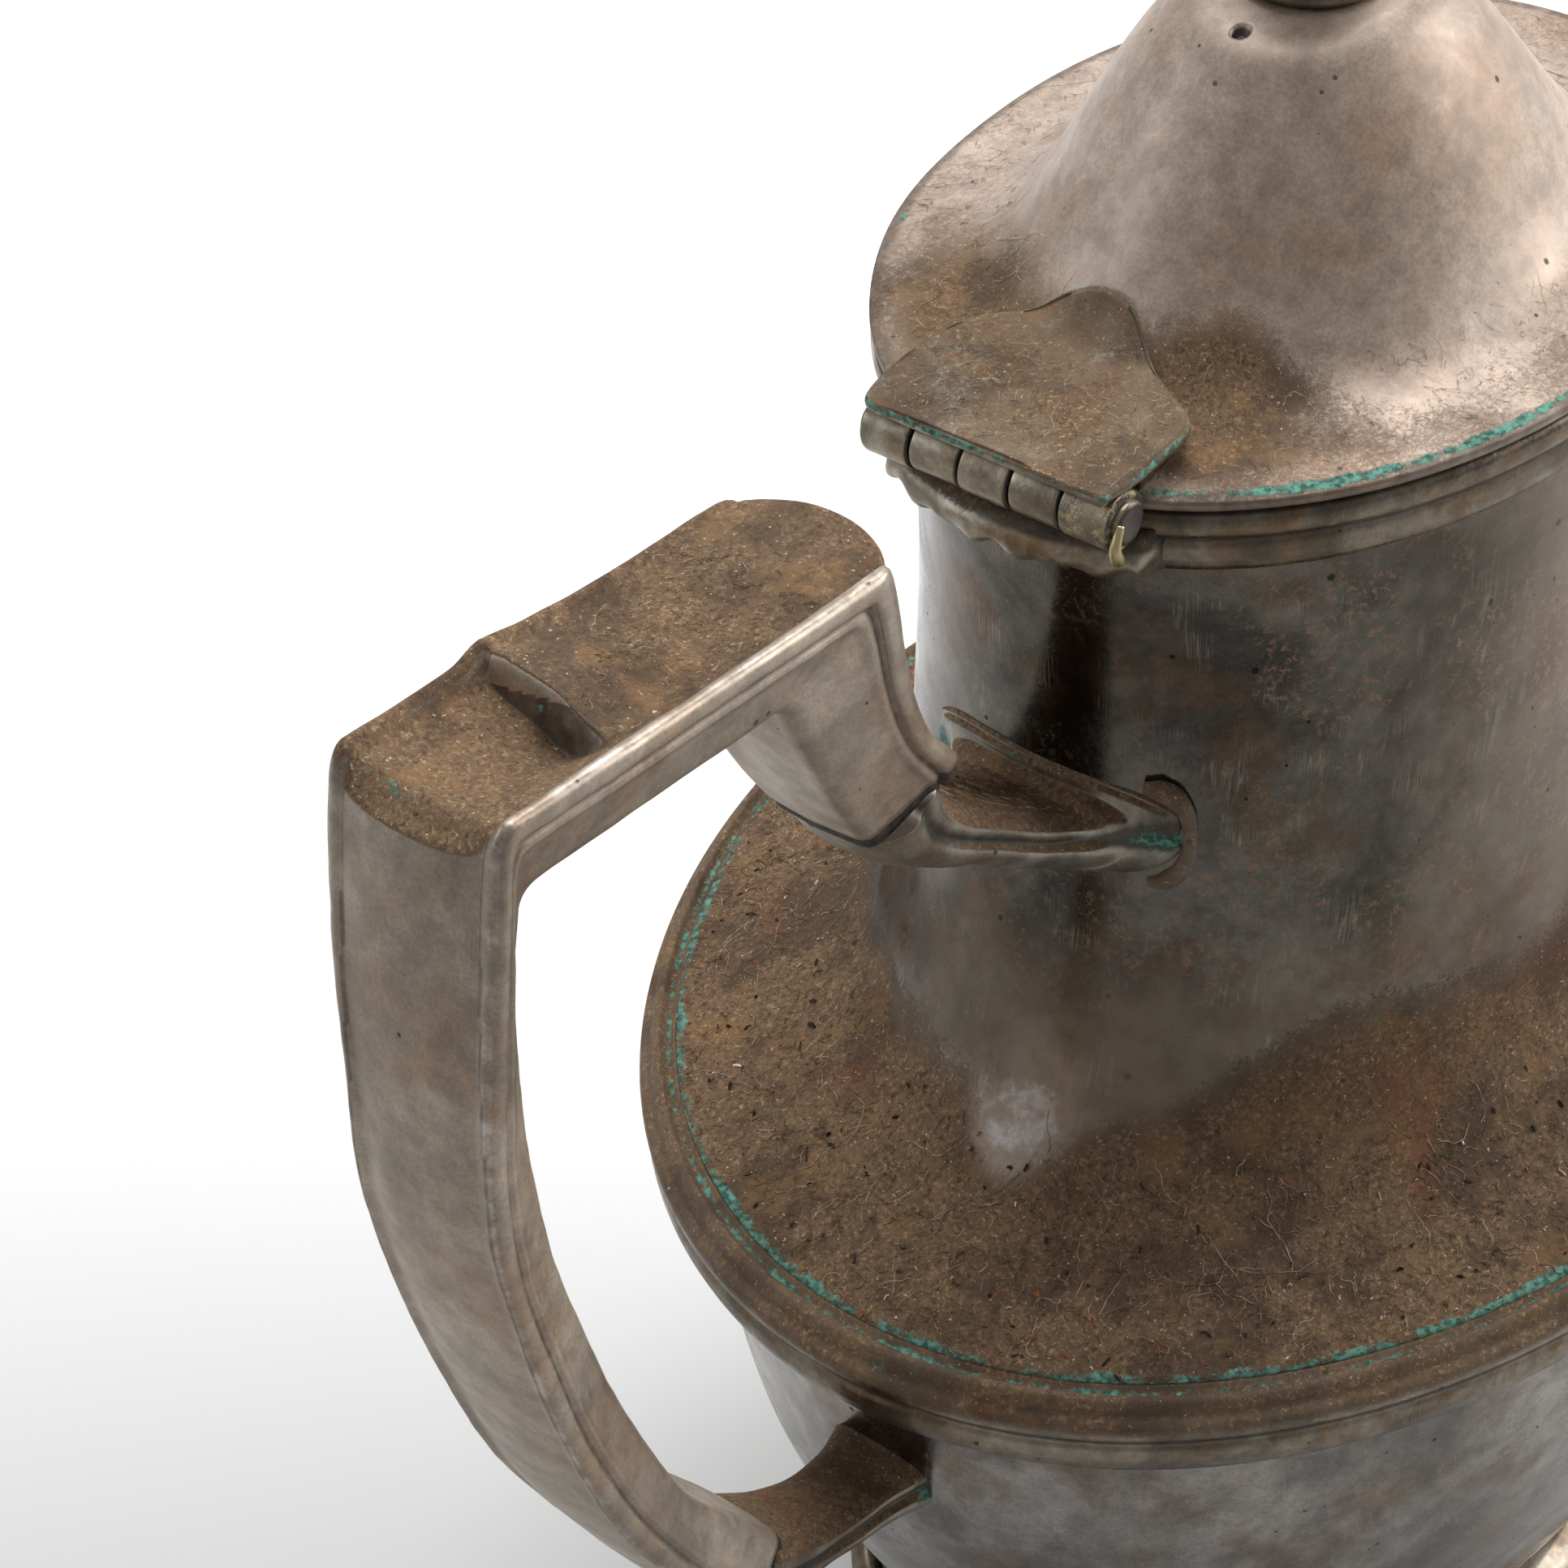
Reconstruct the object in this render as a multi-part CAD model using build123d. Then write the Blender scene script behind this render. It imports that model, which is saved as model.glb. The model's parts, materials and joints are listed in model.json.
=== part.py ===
from build123d import *
import math
import os

os.makedirs("parts", exist_ok=True)

# An oval pot of silvered white metal with a hinged, domed lid and a hollow strap handle.
# Millimetres. Origin: centre of the underside of the foot. +Z up, +X towards the handle.
# Every oval ring and wall is similar in plan: its half width is OVAL times its half length.

# ---- driving dimensions ----
OVAL = 0.767                # plan width over plan length
SHOULDER_Z = 80.0           # height of the widest line of the shoulder
SHOULDER_A = 65.0           # half length of the shoulder there
WALL = 1.1                  # sheet thickness of neck and bowl
FOOT_A = 47.6               # half length of the foot
FOOT_H = 12.0               # height of the foot band
BASE_PLATE = 1.2            # thickness of the plate that closes the foot
MOUTH_Z = 150.8             # top of the mouth moulding
LID_GAP = 0.25              # shut lid to mouth moulding
LID_A = 38.8                # half length of the lid's edge
PIN_X, PIN_Z = 39.2, 152.0  # hinge pin axis, along Y
BARREL_R = 2.35             # hinge knuckle radius
PIN_R = 0.9                 # hinge pin radius
RUNNING = 0.06              # radial clearance of the turning knuckles
HINGE_LEN = 22.0            # five knuckles together
KNUCKLES = 5
KNUCKLE_GAP = 0.12          # end play between knuckles
BARREL_CLEAR = 0.5          # room left round the barrel in lid and rim
HANDLE_W = 15.0             # width of the handle's outer strap
STRAP_T = 1.4               # thickness of the strap
TUBE_W = 13.0               # width of the hollow handle under the strap
TUBE_WALL = 0.9
SOCKET_W = 13.2             # width of the branches that hold the handle
FINIAL_Z = SHOULDER_Z + 93.4  # top of the dome, where the finial stands
STUD_R = 1.6                # finial stud and the hole for it
NUT_R = 3.2                 # finial nut, middle to corner
WASHER_R = 4.2
WASHER_T = 0.7
PIN_HEAD_R = 1.75
TAB_T = 1.2                 # strip that joins a knuckle to its plate


def up(points):
    """Shift side-view points from heights above the shoulder line to heights above the table."""
    return [(x, z + SHOULDER_Z) for x, z in points]


def side(*edges):
    """A face in the XZ plane from points: a list of two is a line, a longer one a smooth curve."""
    lines = []
    for edge in edges:
        spots = [Vector(x, 0, z) for x, z in edge]
        lines.append(Line(*spots) if len(spots) == 2 else Spline(*spots))
    return make_face(Wire(lines))


def beside(points, distance):
    """The same open curve, moved to its left by a distance, with mitred corners."""
    moved = []
    for i, (x, z) in enumerate(points):
        before = points[max(i - 1, 0)]
        after = points[min(i + 1, len(points) - 1)]
        dx, dz = after[0] - before[0], after[1] - before[1]
        length = math.hypot(dx, dz)
        moved.append((x - dz / length * distance, z + dx / length * distance))
    return moved


# Oval pieces are cut and trimmed while still round, OVAL times too wide, and squeezed last.
def squeezed(shape):
    """The oval piece made from its round one."""
    return scale(shape, by=(1, OVAL, 1))


def turn(profile):
    """Turn a side-view face about Z."""
    return revolve(profile, Axis.Z)


def thin_wall(outside, thickness):
    """A thin round wall: its outer side goes through the points, top to bottom."""
    inside = beside(outside, -thickness)
    return turn(side(outside, [outside[-1], inside[-1]], inside[::-1], [inside[0], outside[0]]))


def ring(points):
    """A round moulding with a straight-sided section through the points."""
    return turn(make_face(Polyline(*[(x, 0, z) for x, z in points], close=True)))


def plug(outside):
    """Everything inside a wall's outer face, to trim what is soldered to it."""
    top, bottom = (0, outside[0][1]), (0, outside[-1][1])
    return turn(side(outside, [outside[-1], bottom], [bottom, top], [top, outside[0]]))


def slab(profile, width):
    """A side-view face given a width, even about the plane of symmetry."""
    return extrude(profile, width / 2, dir=(0, 1, 0), both=True)


def rod(radius, y0, y1, x=PIN_X, z=PIN_Z):
    """A round bar along Y."""
    return Plane((x, y0, z), x_dir=(1, 0, 0), z_dir=(0, 1, 0)) * Cylinder(
        radius, y1 - y0, align=(Align.CENTER, Align.CENTER, Align.MIN))


def plan(points, z0, z1):
    """A prism over a plan outline given for +Y and mirrored to -Y, widened for squeezing."""
    half = [(x, y / OVAL) for x, y in points]
    outline = half + [(x, -y) for x, y in reversed(half) if y]
    return extrude(make_face(Polyline(*[(x, y, z0) for x, y in outline], close=True)), z1 - z0, dir=(0, 0, 1))


def save(shape, node):
    """Write one named piece."""
    shape.label = node
    export_step(shape, f"parts/{node}.step")


# ---- body: neck with its spread shoulder, bowl, foot and mouldings ----
NECK = up([(35.3, 70.0), (35.3, 54), (36.2, 38), (37.6, 23), (40.3, 12), (46.0, 6.4), (53, 4.2), (61.2, 3.0)])
BOWL = up([(60.2, 1.5), (60.1, -5.4), (59.3, -13), (58.2, -22), (56.0, -32.5), (51.8, -43.5), (46.2, -54),
           (40, -63.5)])
BOWL_BOTTOM_Z = BOWL[-1][1]

neck_shell = thin_wall(NECK, WALL)
bowl_inside = beside(BOWL, -WALL)
bowl_inside[-1] = (BOWL[-1][0] - WALL, BOWL_BOTTOM_Z)
bowl_shell = turn(side(
    BOWL, [BOWL[-1], (BOWL[-1][0] - 0.4, BOWL_BOTTOM_Z - WALL)],
    [(BOWL[-1][0] - 0.4, BOWL_BOTTOM_Z - WALL), (0, BOWL_BOTTOM_Z - WALL)],
    [(0, BOWL_BOTTOM_Z - WALL), (0, BOWL_BOTTOM_Z)], [(0, BOWL_BOTTOM_Z), bowl_inside[-1]],
    bowl_inside[::-1], [bowl_inside[0], BOWL[0]]))
neck_core = plug(NECK)
bowl_core = plug(BOWL)

shoulder_rim = ring(up([
    (61.25, 3.0), (62.2, 2.9), (62.9, 3.4), (63.6, 2.9), (63.9, 2.1), (64.6, 1.7),
    (SHOULDER_A, 0.8), (SHOULDER_A, 0.2),
    (64.4, -0.3), (64.7, -1.1), (64.4, -3.0), (63.3, -5.0), (62.1, -5.8), (60.3, -5.8), (60.3, 1.6),
    (61.25, 1.7)]))

mouth_rim = ring(up([
    (35.35, 64.8), (37.1, 64.8), (37.7, 65.5), (37.8, 67.3), (37.6, 68.0), (38.4, 68.4), (38.8, 69.2),
    (38.7, 70.2), (38.1, 70.8), (34.3, 70.8), (34.3, 70.05), (35.35, 70.0)]))
room_y = (HINGE_LEN / 2 + 0.3) / OVAL
hinge_room = rod(BARREL_R + BARREL_CLEAR, -room_y, room_y)
mouth_rim = mouth_rim - hinge_room

foot_ring = ring([
    (FOOT_A - 1.4, 0), (FOOT_A, 0.4), (FOOT_A, FOOT_H - 1.2), (FOOT_A - 0.7, FOOT_H - 0.3),
    (FOOT_A - 1.8, FOOT_H), (FOOT_A - 3.0, FOOT_H - 0.4), (FOOT_A - 3.0, FOOT_H - 1.6),
    (FOOT_A - 1.2, FOOT_H - 2.0), (FOOT_A - 1.2, BASE_PLATE), (FOOT_A - 1.4, BASE_PLATE)])
foot_collar = ring([
    (FOOT_A - 3.05, FOOT_H - 0.5), (FOOT_A - 5.5, FOOT_H + 0.1), (FOOT_A - 7.6, FOOT_H + 1.4),
    (FOOT_A - 8.4, BOWL_BOTTOM_Z - WALL - 0.05), (FOOT_A - 13, BOWL_BOTTOM_Z - WALL - 0.05),
    (FOOT_A - 11, FOOT_H - 1.6), (FOOT_A - 3.05, FOOT_H - 1.6)])
base_plate = extrude(Ellipse(FOOT_A - 1.45, (FOOT_A - 1.45) * OVAL), BASE_PLATE)

# ---- handle: hollow limb, soldered strap with a thumb rest, insulated from two sockets ----
LIMB_BACK = up([(53.5, 58.0), (57.0, 63.0), (59.6, 70), (60.9, 78.6)])
ARM_TOP = up([(60.9, 79.2), (98.0, 83.3)])
OUTSIDE = up([(98.6, 82.8), (102.6, 69), (104.0, 56), (103.2, 41), (100.1, 25), (94.6, 10), (88.4, -2),
              (82.9, -9.5)])
LIMB_FRONT = up([(61.9, 55.2), (64.9, 60.4), (67.8, 67.0), (69.6, 71.6)])
ARM_UNDER = up([(71.0, 73.0), (93.6, 75.5)])
INSIDE = up([(96.6, 72.6), (97.2, 60), (96.0, 42), (92.3, 24.5), (87.0, 9), (81.6, 0.2), (76.6, -5.6)])

strap_back = beside(LIMB_BACK, -STRAP_T)
strap_top = beside(ARM_TOP, -STRAP_T)
strap_side = beside(OUTSIDE, -STRAP_T)
strap_top = [(strap_back[-1][0], strap_top[0][1]), (strap_side[0][0], strap_top[1][1])]
strap_back = strap_back[:-1] + [(strap_back[-1][0], strap_top[0][1])]
strap_side = [strap_top[1]] + strap_side[1:]

handle_strap = slab(side(
    LIMB_BACK, [LIMB_BACK[-1], ARM_TOP[0]], ARM_TOP, [ARM_TOP[1], OUTSIDE[0]], OUTSIDE,
    [OUTSIDE[-1], strap_side[-1]], strap_side[::-1], strap_top[::-1], strap_back[::-1],
    [strap_back[0], LIMB_BACK[0]]), HANDLE_W)

handle_tube = slab(side(
    strap_back, strap_top, strap_side, [strap_side[-1], INSIDE[-1]], INSIDE[::-1],
    [INSIDE[0], ARM_UNDER[1]], ARM_UNDER[::-1], [ARM_UNDER[0], LIMB_FRONT[-1]], LIMB_FRONT[::-1],
    [LIMB_FRONT[0], strap_back[0]]), TUBE_W)
hollow_front = beside(LIMB_FRONT, TUBE_WALL)
hollow_under = beside(ARM_UNDER, TUBE_WALL)
hollow_inside = beside(INSIDE, TUBE_WALL)
handle_tube = handle_tube - slab(side(
    strap_back, strap_top, strap_side, [strap_side[-1], hollow_inside[-1]], hollow_inside[::-1],
    [hollow_inside[0], hollow_under[1]], hollow_under[::-1], [hollow_under[0], hollow_front[-1]],
    hollow_front[::-1], [hollow_front[0], strap_back[0]]), TUBE_W - 2 * TUBE_WALL)

thumb_rest = slab(side(
    up([(64.0, 79.6), (84.6, 81.87)]), up([(84.6, 81.87), (86.6, 82.1)]), up([(86.6, 82.1), (86.2, 83.3)]),
    up([(86.2, 83.3), (85.2, 83.4), (80, 81.95), (72, 80.85), (64.0, 79.6)])), HANDLE_W - 3)


def branch(profile, outline, keep_out):
    """A cast socket: a side profile with a plan outline, fitted to the wall it is soldered to."""
    shape = slab(profile, 60) & plan(outline, SHOULDER_Z - 60, SHOULDER_Z + 70)
    return squeezed((shape - keep_out).solids().sort_by(Axis.X)[-1])


upper_socket = branch(
    side(up([(53.6, 56.4), (51.3, 51.3), (47.0, 46.4), (42.6, 43.4), (38.6, 42.6), (36.9, 44.2), (33, 44.6)]),
         up([(33, 44.6), (33, 33.2)]),
         up([(33, 33.2), (36.7, 33.4), (42.0, 37.6), (48.0, 41.2), (53.6, 45.2), (58.6, 49.8), (61.4, 53.9)]),
         up([(61.4, 53.9), (53.6, 56.4)])),
    [(62, SOCKET_W / 2), (48, 6.1), (42, 6.4), (38.6, 8.0), (36.4, 11.2), (34.6, 12.2), (24, 12.2), (24, 0)],
    neck_core)
upper_insulator = slab(side(
    up([(53.0, 57.1), (61.7, 54.9)]), up([(61.7, 54.9), (61.3, 53.95)]),
    up([(61.3, 53.95), (52.6, 56.55)]), up([(52.6, 56.55), (53.0, 57.1)])), TUBE_W - 0.6) - upper_socket

lower_socket = branch(
    side(up([(75.6, -6.9), (73.0, -9.6), (68.5, -12.2), (63, -13.1), (59.9, -10.8), (56, -10)]),
         up([(56, -10), (54, -26)]),
         up([(54, -26), (59.4, -24.3), (62.5, -21.6), (69.0, -19.3), (76, -15.4), (81.4, -11.2)]),
         up([(81.4, -11.2), (75.6, -6.9)])),
    [(83, SOCKET_W / 2), (76, 6.0), (68, 4.4), (63, 4.6), (60.2, 7.6), (58, 10.4), (50, 10.4), (50, 0)],
    bowl_core)
lower_insulator = slab(side(
    up([(76.4, -5.9), (82.6, -9.7)]), up([(82.6, -9.7), (81.5, -11.0)]),
    up([(81.5, -11.0), (75.7, -6.8)]), up([(75.7, -6.8), (76.4, -5.9)])), TUBE_W - 0.6)
lower_insulator = lower_insulator - lower_socket - handle_tube

# ---- lid: domed shell, locating ring, finial with its fixings ----
LID_TOP = up([(37.9, 72.15), (34, 72.35), (30, 72.9), (26.6, 74.2), (23.2, 77.7), (18.2, 84.4), (14.2, 89.3),
              (11.9, 91.8)])
LID_CROWN = up([(11.9, 91.8), (11.2, 92.5), (9.8, 93.1), (8.2, 93.4)])
LID_T = 0.95
lid_under = beside(LID_TOP, LID_T)
crown_under = [(lid_under[-1][0], lid_under[-1][1]), (8.2, FINIAL_Z - LID_T)]
EDGE = [(LID_A, LID_TOP[0][1] - 0.5), (LID_A - 0.1, MOUTH_Z + LID_GAP)]
STUD_HOLE_R = STUD_R / OVAL + 0.1
VENT_X, VENT_R = 9.3, 0.7

lid_shell = turn(side(
    LID_TOP, LID_CROWN, [LID_CROWN[-1], (STUD_HOLE_R, FINIAL_Z)],
    [(STUD_HOLE_R, FINIAL_Z), (STUD_HOLE_R, FINIAL_Z - LID_T)],
    [(STUD_HOLE_R, FINIAL_Z - LID_T), crown_under[1]], crown_under[::-1], lid_under[::-1],
    [lid_under[0], (EDGE[1][0] - 1.0, EDGE[1][1])], [(EDGE[1][0] - 1.0, EDGE[1][1]), EDGE[1]],
    EDGE[::-1], [EDGE[0], LID_TOP[0]]))
vent = Pos(VENT_X, 0, FINIAL_Z - 1) * Cylinder(VENT_R, 8)
lid_shell = squeezed(lid_shell - hinge_room) - vent

BEZEL_A = 33.2
BEZEL_TOP = LID_TOP[1][1] - LID_T - 0.12
lid_bezel = ring([(BEZEL_A, BEZEL_TOP), (BEZEL_A, BEZEL_TOP - 4), (BEZEL_A - 0.3, BEZEL_TOP - 4.4),
                       (BEZEL_A - 1.0, BEZEL_TOP - 4.4), (BEZEL_A - 1.0, BEZEL_TOP)])


def turned(points):
    """A round piece on the lid's axis from its half section."""
    return revolve(make_face(Polyline(*[(x, 0, z + FINIAL_Z) for x, z in points], close=True)), Axis.Z)


finial_collar = turned([(STUD_R, 0), (5.4, 0), (5.7, 0.5), (5.4, 1.1), (4.3, 1.6), (3.6, 2.6), (STUD_R, 2.6)])
FINIAL_FOOT = 2.65          # the finial sits on its collar here
FINIAL_SIDE = [(3.5, FINIAL_FOOT), (2.6, 5), (3.4, 8), (6.6, 10.6), (7.4, 12.6), (5.6, 15.4), (2.6, 17),
               (1.8, 18.6), (0, 20)]
on_dome = [(x, z + FINIAL_Z) for x, z in FINIAL_SIDE]
finial = turn(side(on_dome, [on_dome[-1], (0, on_dome[0][1])], [(0, on_dome[0][1]), on_dome[0]]))
finial_stud = turned([(0, 2.6), (STUD_R - 0.05, 2.6), (STUD_R - 0.05, -6), (1.2, -6.5), (0, -6.5)])
washer_top = -LID_T - 0.05
finial_washer = turned([(STUD_R, washer_top), (WASHER_R, washer_top), (WASHER_R, washer_top - WASHER_T),
                        (STUD_R, washer_top - WASHER_T)])
nut_face = Pos(0, 0, FINIAL_Z - LID_T - 3.2) * RegularPolygon(NUT_R, 6)
finial_nut = extrude(nut_face, 2.35) - Pos(0, 0, FINIAL_Z - 3) * Cylinder(STUD_R, 12)

# ---- hinge: shield plate and two knuckles on the lid, leaf and three knuckles on the rim ----
PLATE_TOP = SHOULDER_Z + 75.0
PLATE_T = 0.9
PLATE_REAR = 41.4
OVERHANG_X = 36.0           # behind this the plate runs out over the barrel
SHIELD = [(PLATE_REAR, 10.7), (30.6, 10.9), (29.0, 7.2), (26.6, 5.4), (23.6, 4.6), (21.4, 2.8), (20.8, 0)]
barrel_top = PIN_Z + BARREL_R + 0.1
plate_under = [(OVERHANG_X, LID_TOP[0][1] + 0.2), (31, LID_TOP[2][1] + 0.1), (27.4, SHOULDER_Z + 74.1)]
plate_rise = up([(27.4, 74.1), (24.6, 76.5), (20.6, 81.4)])
plate_profile = side(
    [(PLATE_REAR, barrel_top), (OVERHANG_X, barrel_top)], [(OVERHANG_X, barrel_top), plate_under[0]],
    plate_under, plate_rise, [plate_rise[-1], (20.6, plate_rise[-1][1] + PLATE_T)],
    [(20.6, plate_rise[-1][1] + PLATE_T), (25.2, SHOULDER_Z + 76.9), (28.6, PLATE_TOP)],
    [(28.6, PLATE_TOP), (PLATE_REAR, PLATE_TOP)], [(PLATE_REAR, PLATE_TOP), (PLATE_REAR, barrel_top)])
hinge_plate = squeezed(slab(plate_profile, 60) & plan(SHIELD, PLATE_TOP - 5, PLATE_TOP + 10))

step_y = HINGE_LEN / KNUCKLES
for i in range(KNUCKLES):
    y0 = -HINGE_LEN / 2 + i * step_y + KNUCKLE_GAP / 2
    y1 = y0 + step_y - KNUCKLE_GAP
    on_lid = i % 2 == 1
    bore = PIN_R + (RUNNING if on_lid else 0)
    if on_lid:
        tab = Pos(PIN_X - 2, (y0 + y1) / 2, PIN_Z + 1.45) * Box(2.3, y1 - y0, 1.8)
    else:
        tab = Pos(PIN_X + 0.4, (y0 + y1) / 2, PIN_Z - 2) * Box(TAB_T, y1 - y0, 2.0)
    knuckle = rod(BARREL_R, y0, y1) + tab - rod(bore, y0 - 1, y1 + 1)
    save(knuckle, f"lid_knuckle_{(i + 1) // 2}" if on_lid else f"body_knuckle_{i // 2 + 1}")

hinge_pin = rod(PIN_R, -HINGE_LEN / 2 - 0.2, HINGE_LEN / 2 + 0.2)
for end in (-1, 1):
    head = Pos(PIN_X, end * (HINGE_LEN / 2 + 0.2), PIN_Z) * Sphere(PIN_HEAD_R)
    keep = Pos(PIN_X, end * (HINGE_LEN / 2 + 5.2), PIN_Z) * Box(10, 10, 10)
    hinge_pin = hinge_pin + (Pos(0, end * -0.2, 0) * head & keep)

LEAF = up([(38.9, 68.9), (40.4, 68.4), (41.2, 67.3), (40.4, 66.2), (37.2, 64.7), (36.4, 64.7), (36.4, 68.9)])
leaf_y = (HINGE_LEN / 2 - 0.1) / OVAL
hinge_leaf = slab(make_face(Polyline(*[(x, 0, z) for x, z in LEAF], close=True)), 2 * leaf_y)
hinge_leaf = hinge_leaf - plug([(LID_A + 0.05, MOUTH_Z), (LID_A + 0.05, SHOULDER_Z + 60)])
hinge_leaf = squeezed(hinge_leaf.solids().sort_by(SortBy.VOLUME)[-1])

for shape, node in [
        (neck_shell, "neck_shell"), (bowl_shell, "bowl_shell"), (shoulder_rim, "shoulder_rim"),
        (mouth_rim, "mouth_rim"), (foot_ring, "foot_ring"), (foot_collar, "foot_collar"),
        (lid_bezel, "lid_bezel")]:
    save(squeezed(shape), node)

for shape, node in [
        (base_plate, "base_plate"), (handle_strap, "handle_strap"), (handle_tube, "handle_tube"),
        (thumb_rest, "thumb_rest"), (upper_socket, "upper_socket"), (upper_insulator, "upper_insulator"),
        (lower_socket, "lower_socket"), (lower_insulator, "lower_insulator"), (lid_shell, "lid_shell"),
        (finial_collar, "finial_collar"), (finial, "finial"),
        (finial_stud, "finial_stud"), (finial_washer, "finial_washer"), (finial_nut, "finial_nut"),
        (hinge_plate, "hinge_plate"), (hinge_leaf, "hinge_leaf"), (hinge_pin, "hinge_pin")]:
    save(shape, node)
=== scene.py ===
# %% [markdown]
# # A tarnished oval pot, piece by piece
# The pot is sheet metal, soldered from a neck, a bowl and mouldings, with a hollow handle and a hinged lid.
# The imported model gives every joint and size. This file gives each piece its visible skin and its finish.

import json
import math

import bpy
import numpy as np
from mathutils import Matrix, Vector


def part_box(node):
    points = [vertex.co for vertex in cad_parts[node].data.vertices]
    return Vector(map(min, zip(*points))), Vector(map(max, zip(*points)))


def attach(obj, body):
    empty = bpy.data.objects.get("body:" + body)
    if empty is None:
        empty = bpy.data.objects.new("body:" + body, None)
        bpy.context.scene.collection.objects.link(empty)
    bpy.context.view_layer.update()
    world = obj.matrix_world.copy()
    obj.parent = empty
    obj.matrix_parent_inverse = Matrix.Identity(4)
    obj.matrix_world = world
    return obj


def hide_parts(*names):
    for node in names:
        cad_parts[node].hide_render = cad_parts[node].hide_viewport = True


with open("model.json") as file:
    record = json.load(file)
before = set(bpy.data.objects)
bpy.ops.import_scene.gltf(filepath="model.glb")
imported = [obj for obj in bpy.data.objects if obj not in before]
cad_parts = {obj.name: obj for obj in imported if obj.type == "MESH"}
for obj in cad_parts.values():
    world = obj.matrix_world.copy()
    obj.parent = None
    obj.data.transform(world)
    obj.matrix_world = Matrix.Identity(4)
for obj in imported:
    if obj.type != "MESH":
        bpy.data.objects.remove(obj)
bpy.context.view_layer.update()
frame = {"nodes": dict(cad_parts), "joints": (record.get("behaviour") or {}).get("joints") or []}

# %% [markdown]
# The makers worked from a few sizes. Here they are read from the frame: the hinge pin gives the level that all
# heights are counted from, and the boxes of the rings give their half lengths. Side-view points below are in
# millimetres: the first number is the distance from the upright axis, the second the height over the shoulder line.

# %% Driving sizes
MM = 0.001
PIN = np.array(frame["joints"][0]["pos_m"])
PIN_OVER_SHOULDER = 72 * MM
SHOULDER_Z = PIN[2] - PIN_OVER_SHOULDER
SHOULDER_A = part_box("shoulder_rim")[1][0]
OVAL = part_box("shoulder_rim")[1][1] / SHOULDER_A
MOUTH_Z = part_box("mouth_rim")[1][2]
FOOT_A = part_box("foot_ring")[1][0]
FINIAL_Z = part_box("finial_collar")[0][2]
HALF_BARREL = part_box("hinge_leaf")[1][1]
BARREL_R = 2.35 * MM
print("half length", round(SHOULDER_A, 4), "plan ratio", round(OVAL, 3), "shoulder height", round(SHOULDER_Z, 4))

# %% [markdown]
# A drawn outline needs few points if a smooth curve joins them. The Catmull-Rom curve used here passes through
# each point with a slope parallel to the line between its neighbours. A step and a hill blend one thing into
# another, and a ripple is the unevenness of hand work.

# %% Curves
def through(points, count):
    """A smooth curve through the points: between two of them, a cubic whose end slopes are half the step
    from the point before to the point after."""
    p = np.asarray(points, float)
    padded = np.vstack([2 * p[0] - p[1], p, 2 * p[-1] - p[-2]])
    t = np.linspace(0, len(p) - 1, count)
    i = np.minimum(t.astype(int), len(p) - 2)
    f = (t - i)[:, None]
    a, b, c, d = (padded[i + k] for k in range(4))
    return 0.5 * (2 * b + (c - a) * f + (2 * a - 5 * b + 4 * c - d) * f**2 + (3 * b - a - 3 * c + d) * f**3)


def even(points, count):
    """The same open line, with its points at equal distances along it."""
    p = np.asarray(points, float)
    run = np.concatenate([[0], np.cumsum(np.linalg.norm(np.diff(p, axis=0), axis=1))])
    return np.stack([np.interp(np.linspace(0, run[-1], count), run, p[:, k]) for k in range(p.shape[1])], 1)


def step(value, low, high):
    """0 below low, 1 above high, and a smooth S between: 3t^2 - 2t^3."""
    t = np.clip((value - low) / (high - low), 0, 1)
    return t * t * (3 - 2 * t)


def hill(value, centre, width):
    """1 at the centre, falling away to both sides: exp(-((value - centre) / width)^2)."""
    return np.exp(-(((value - centre) / width) ** 2))


def ripple(points, size, seed, waves=9):
    """A smooth wandering value about 0 for each point: the mean of sine waves of about that length, each with
    its own direction and phase."""
    rng = np.random.default_rng(seed)
    turn = rng.normal(size=(waves, 3))
    turn /= np.linalg.norm(turn, axis=1)[:, None]
    rate = 2 * math.pi / (size * rng.uniform(0.7, 1.6, waves))
    phase = rng.uniform(0, 2 * math.pi, waves)
    return np.sin(points @ (turn * rate[:, None]).T + phase).mean(axis=-1) * 1.8


# %% [markdown]
# Every skin below is a grid of points, rows by columns. The grid is closed round its columns, and either closed
# along its rows as well, like a ring, or capped at both ends, like a bar. If the volume that the triangles
# enclose comes out negative, they face inwards and are turned.

# %% From grid to mesh
def place(name, data, finish=None):
    """Puts a mesh, a light or a camera into the scene."""
    thing = bpy.data.objects.new(name, data)
    bpy.context.scene.collection.objects.link(thing)
    if finish:
        data.materials.append(finish)
    return thing


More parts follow.
